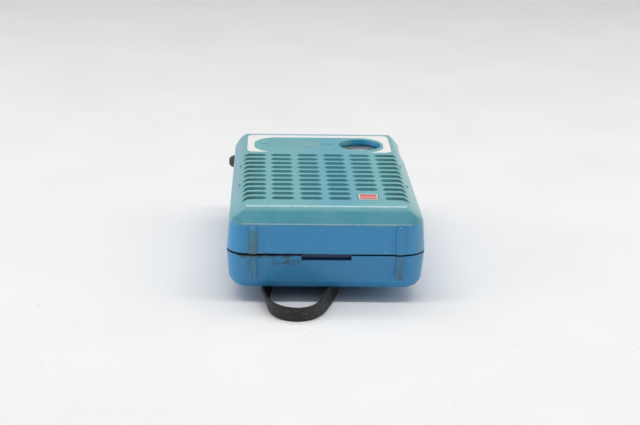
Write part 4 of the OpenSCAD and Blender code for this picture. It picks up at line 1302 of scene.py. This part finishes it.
def make_strap():
    anchors = []
    for x, y, rise, turn in STRAP_ROUTE:
        lean = math.radians(turn)
        z = rise + STRAP_W / 2 * math.sin(lean) + STRAP_T / 2 * math.cos(lean) - CASE_LIFT
        anchors.append(Vector((x, y, z, turn)))
    line = spline(anchors, 6)
    sheet = Sheet()
    uv = []
    profile = strap_profile()
    rings = []
    gone = 0.0
    for i, point in enumerate(line):
        here = point.to_3d()
        before, after = line[max(i - 1, 0)].to_3d(), line[min(i + 1, len(line) - 1)].to_3d()
        heading = (after - before).normalized()
        lean = math.radians(point[3])
        across = Vector((-math.cos(lean), 0, math.sin(lean)))
        across = (across - heading * across.dot(heading)).normalized()
        thick = heading.cross(across)
        if i:
            gone += (here - before).length
        rings.append(sheet.ring([here + across * a + thick * b for a, b in profile]))
        uv += [(gone, a) for a, b in profile]
    for a, b in zip(rings, rings[1:]):
        sheet.band(a, b)
    sheet.fan(rings[0])
    sheet.fan(rings[-1])
    strap = sheet.piece("wrist_strap_vinyl", "back_half", "strap_vinyl", 50, uv)
    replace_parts(strap, "wrist_strap")
    path = [place(p.to_3d()) for p in line]
    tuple(path[0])


# ---- thumbwheels and dial ----

def toothed_wheel(node, name, centre, r, low, high, teeth, body, bore):
    """A wheel with rounded knurls that fade over softened edges."""
    sheet = Sheet()
    turns = [2 * math.pi * i / (teeth * 8) for i in range(teeth * 8)]

    def loop(radius, depth):
        reach = [radius - depth * (0.5 + 0.5 * math.cos(turn * teeth)) ** 2 for turn in turns]
        return [(a * math.cos(turn) + centre[0], a * math.sin(turn) + centre[1])
                for a, turn in zip(reach, turns)]

    profile = [
        (bore, 0, high - 0.1), (r - 2.2, 0, high - 0.1), (r - 1.8, 0, high), (r - 0.5, 0.1, high),
        (r - 0.2, 0.35, high - 0.1), (r, 0.5, high - 0.35), (r, 0.5, low + 0.35), (r - 0.2, 0.35, low + 0.1),
        (r - 0.5, 0.1, low), (r - 1.8, 0, low), (bore, 0, low)]
    sheet.looped([lifted(loop(radius, depth), z) for radius, depth, z in profile])
    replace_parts(sheet.piece(name, body, "wheel_plastic", 50), node)


def turned(name, profile, body, slot, node=None):
    """A piece turned about the dial's axis, whose profile of radius and height closes on itself."""
    sheet = Sheet()
    rings = [lifted(circle_loop(DIAL_X, WHEEL_Y, r, 64), z) for r, z in profile]
    if profile[0][0] > 0.05:
        sheet.looped(rings)
    else:
        sheet.capped(rings)
    piece = sheet.piece(name, body, slot)
    if node:
        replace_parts(piece, node)


def raised_digits(label, spot, angle):
    """A number as a mesh, standing on its spot of the dial face."""
    curve = bpy.data.curves.new(f"digits_{label}", "FONT")
    curve.body = label
    curve.size = 2.0
    curve.extrude = 0.02
    curve.align_x, curve.align_y = "CENTER", "CENTER"
    holder = bpy.data.objects.new(f"digits_{label}", curve)
    mesh = holder.to_mesh().copy()
    bpy.data.objects.remove(holder)
    mesh.transform(Matrix.Translation(spot) @ Matrix.Rotation(angle + math.pi / 2, 4, "Z"))
    return mesh


def dial_numbers():
    """Plain frequency numbers and tick marks, slightly raised on the dial face."""
    sheet = Sheet()
    top = 26.3
    mid = Vector((DIAL_X, WHEEL_Y))
    for i, label in enumerate(("55", "6", "7", "8", "10", "12", "14", "16")):
        angle = math.radians(-90 + (i - 3.5) * 36)
        spot = Vector((mid.x + 5.6 * math.cos(angle), mid.y + 5.6 * math.sin(angle), top + 0.02))
        mesh = raised_digits(label, spot, angle)
        ids = sheet.ring([v.co for v in mesh.vertices])
        sheet.faces += [tuple(ids[v] for v in face.vertices) for face in mesh.polygons]
    for i in range(36):
        angle = math.radians(i * 10 + 3)
        out = Vector((math.cos(angle), math.sin(angle)))
        side = out.orthogonal() * 0.09
        near, far = mid + out * 7.6, mid + out * (8.7 if i % 3 == 0 else 8.2)
        corners = [near + side, far + side, far - side, near - side]
        sheet.capped([lifted(corners, top - 0.02), lifted(corners, top + 0.04)])
    return sheet.piece("dial_numbers", "tuning_control", "black_plastic")


def make_wheels():
    """Tuning wheel with its boss and dial face, the lens over it, and the volume wheel."""
    toothed_wheel("tuning_wheel", "tuning_thumbwheel", (DIAL_X, WHEEL_Y), TUNING_R, 21.4, 24.0, 90,
                  "tuning_control", 1.2)
    boss = [(1.5, 23.8), (1.5, 25.85), (1.7, 26.0), (9.75, 26.0), (10.0, 25.75), (10.0, 24.2), (10.4, 23.8)]
    turned("tuning_boss", boss, "tuning_control", "wheel_plastic")
    face = [(0.04, 25.98), (0.04, 26.3), (9.45, 26.3), (9.6, 26.2), (9.6, 25.98)]
    turned("dial_face", face, "tuning_control", "dial_silver", "dial_plate")
    dial_numbers()
    lens = [(0.04, 26.82), (0.04, 27.58), (7.3, 27.58), (8.0, 27.5), (8.15, 27.3), (8.15, 26.9), (8.0, 26.82)]
    turned("dial_window_lens", lens, "front_half", "clear_lens", "dial_lens")
    volume_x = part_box("volume_wheel")[1].x / MM - ORIGIN.x - VOLUME_R
    toothed_wheel("volume_wheel", "volume_thumbwheel", (volume_x, WHEEL_Y), VOLUME_R, 21.2, 23.7, 44,
                  "volume_knob", 1.4)


def paint_cad_nodes():
    """The inner works keep their CAD shapes and take their slots' finishes."""
    for part in frame["record"]["subparts"]:
        node = frame["nodes"][part["node"]]
        node.data.materials.clear()
        node.data.materials.append(FINISHES[part["material_slot"]])


# ---- stage ----

def make_floor():
    size = 6.0
    mesh = bpy.data.meshes.new("floor")
    corners = [(-size, -size, 0), (size, -size, 0), (size, size, 0), (-size, size, 0)]
    mesh.from_pydata(corners, [], [(0, 1, 2, 3)])
    mesh.materials.append(floor_finish())
    linked("floor", mesh)


def area_light(name, centre, size_x, size_y, power, turn=(0.0, 0.0)):
    data = bpy.data.lights.new(name, "AREA")
    data.shape = "RECTANGLE"
    data.size, data.size_y = size_x, size_y
    data.energy = power
    light = linked(name, data)
    light.location = place(centre)
    light.rotation_euler = (math.radians(turn[0]), math.radians(turn[1]), 0)
    return light


def make_lights():
    """A long strip overhead, a broad soft light behind, one at each side and a pale surround."""
    world = bpy.data.worlds.new("surround")
    world.use_nodes = True
    background = world.node_tree.nodes["Background"]
    background.inputs["Color"].default_value = (1.0, 0.995, 0.99, 1)
    background.inputs["Strength"].default_value = 0.22
    bpy.context.scene.world = world
    strip = area_light("overhead_strip", (0, -150, 900), 1.5, 0.06, 5.3)
    strip.visible_glossy = False
    area_light("soft_top", (0, 500, 1100), 1.6, 0.9, 3.0, (-24, 0))
    area_light("edge_strip", (0, 400, 950), 1.5, 0.14, 1.8, (-23, 0))
    area_light("soft_left", (-800, 0, 380), 0.7, 0.9, 2.2, (0, -66))
    area_light("soft_right", (800, 0, 380), 0.7, 0.9, 2.2, (0, 66))
    bpy.context.scene.view_settings.view_transform = "Standard"


make_camera()
FINISHES = make_finishes()
make_strap()
paint_cad_nodes()
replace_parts(front_case(), "front_case")
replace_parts(back_case(), "back_case")
joint_lip()
for rib_side, rib_name in ((-1, "left"), (1, "right")):
    foot_rib(f"front_foot_rib_{rib_name}", rib_side * RIB_X, FRONT_RIM + 0.1, CASE_H - FRONT_DROP - 0.7, True,
             "front_half", "case_teal")
    foot_rib(f"back_foot_rib_{rib_name}", rib_side * RIB_X, BACK_DROP + 0.6, BACK_RIM - 0.1, False,
             "back_half", "case_blue")
hooks()
make_panel()
make_plaque()
make_badge()
make_wheels()
make_floor()
make_lights()
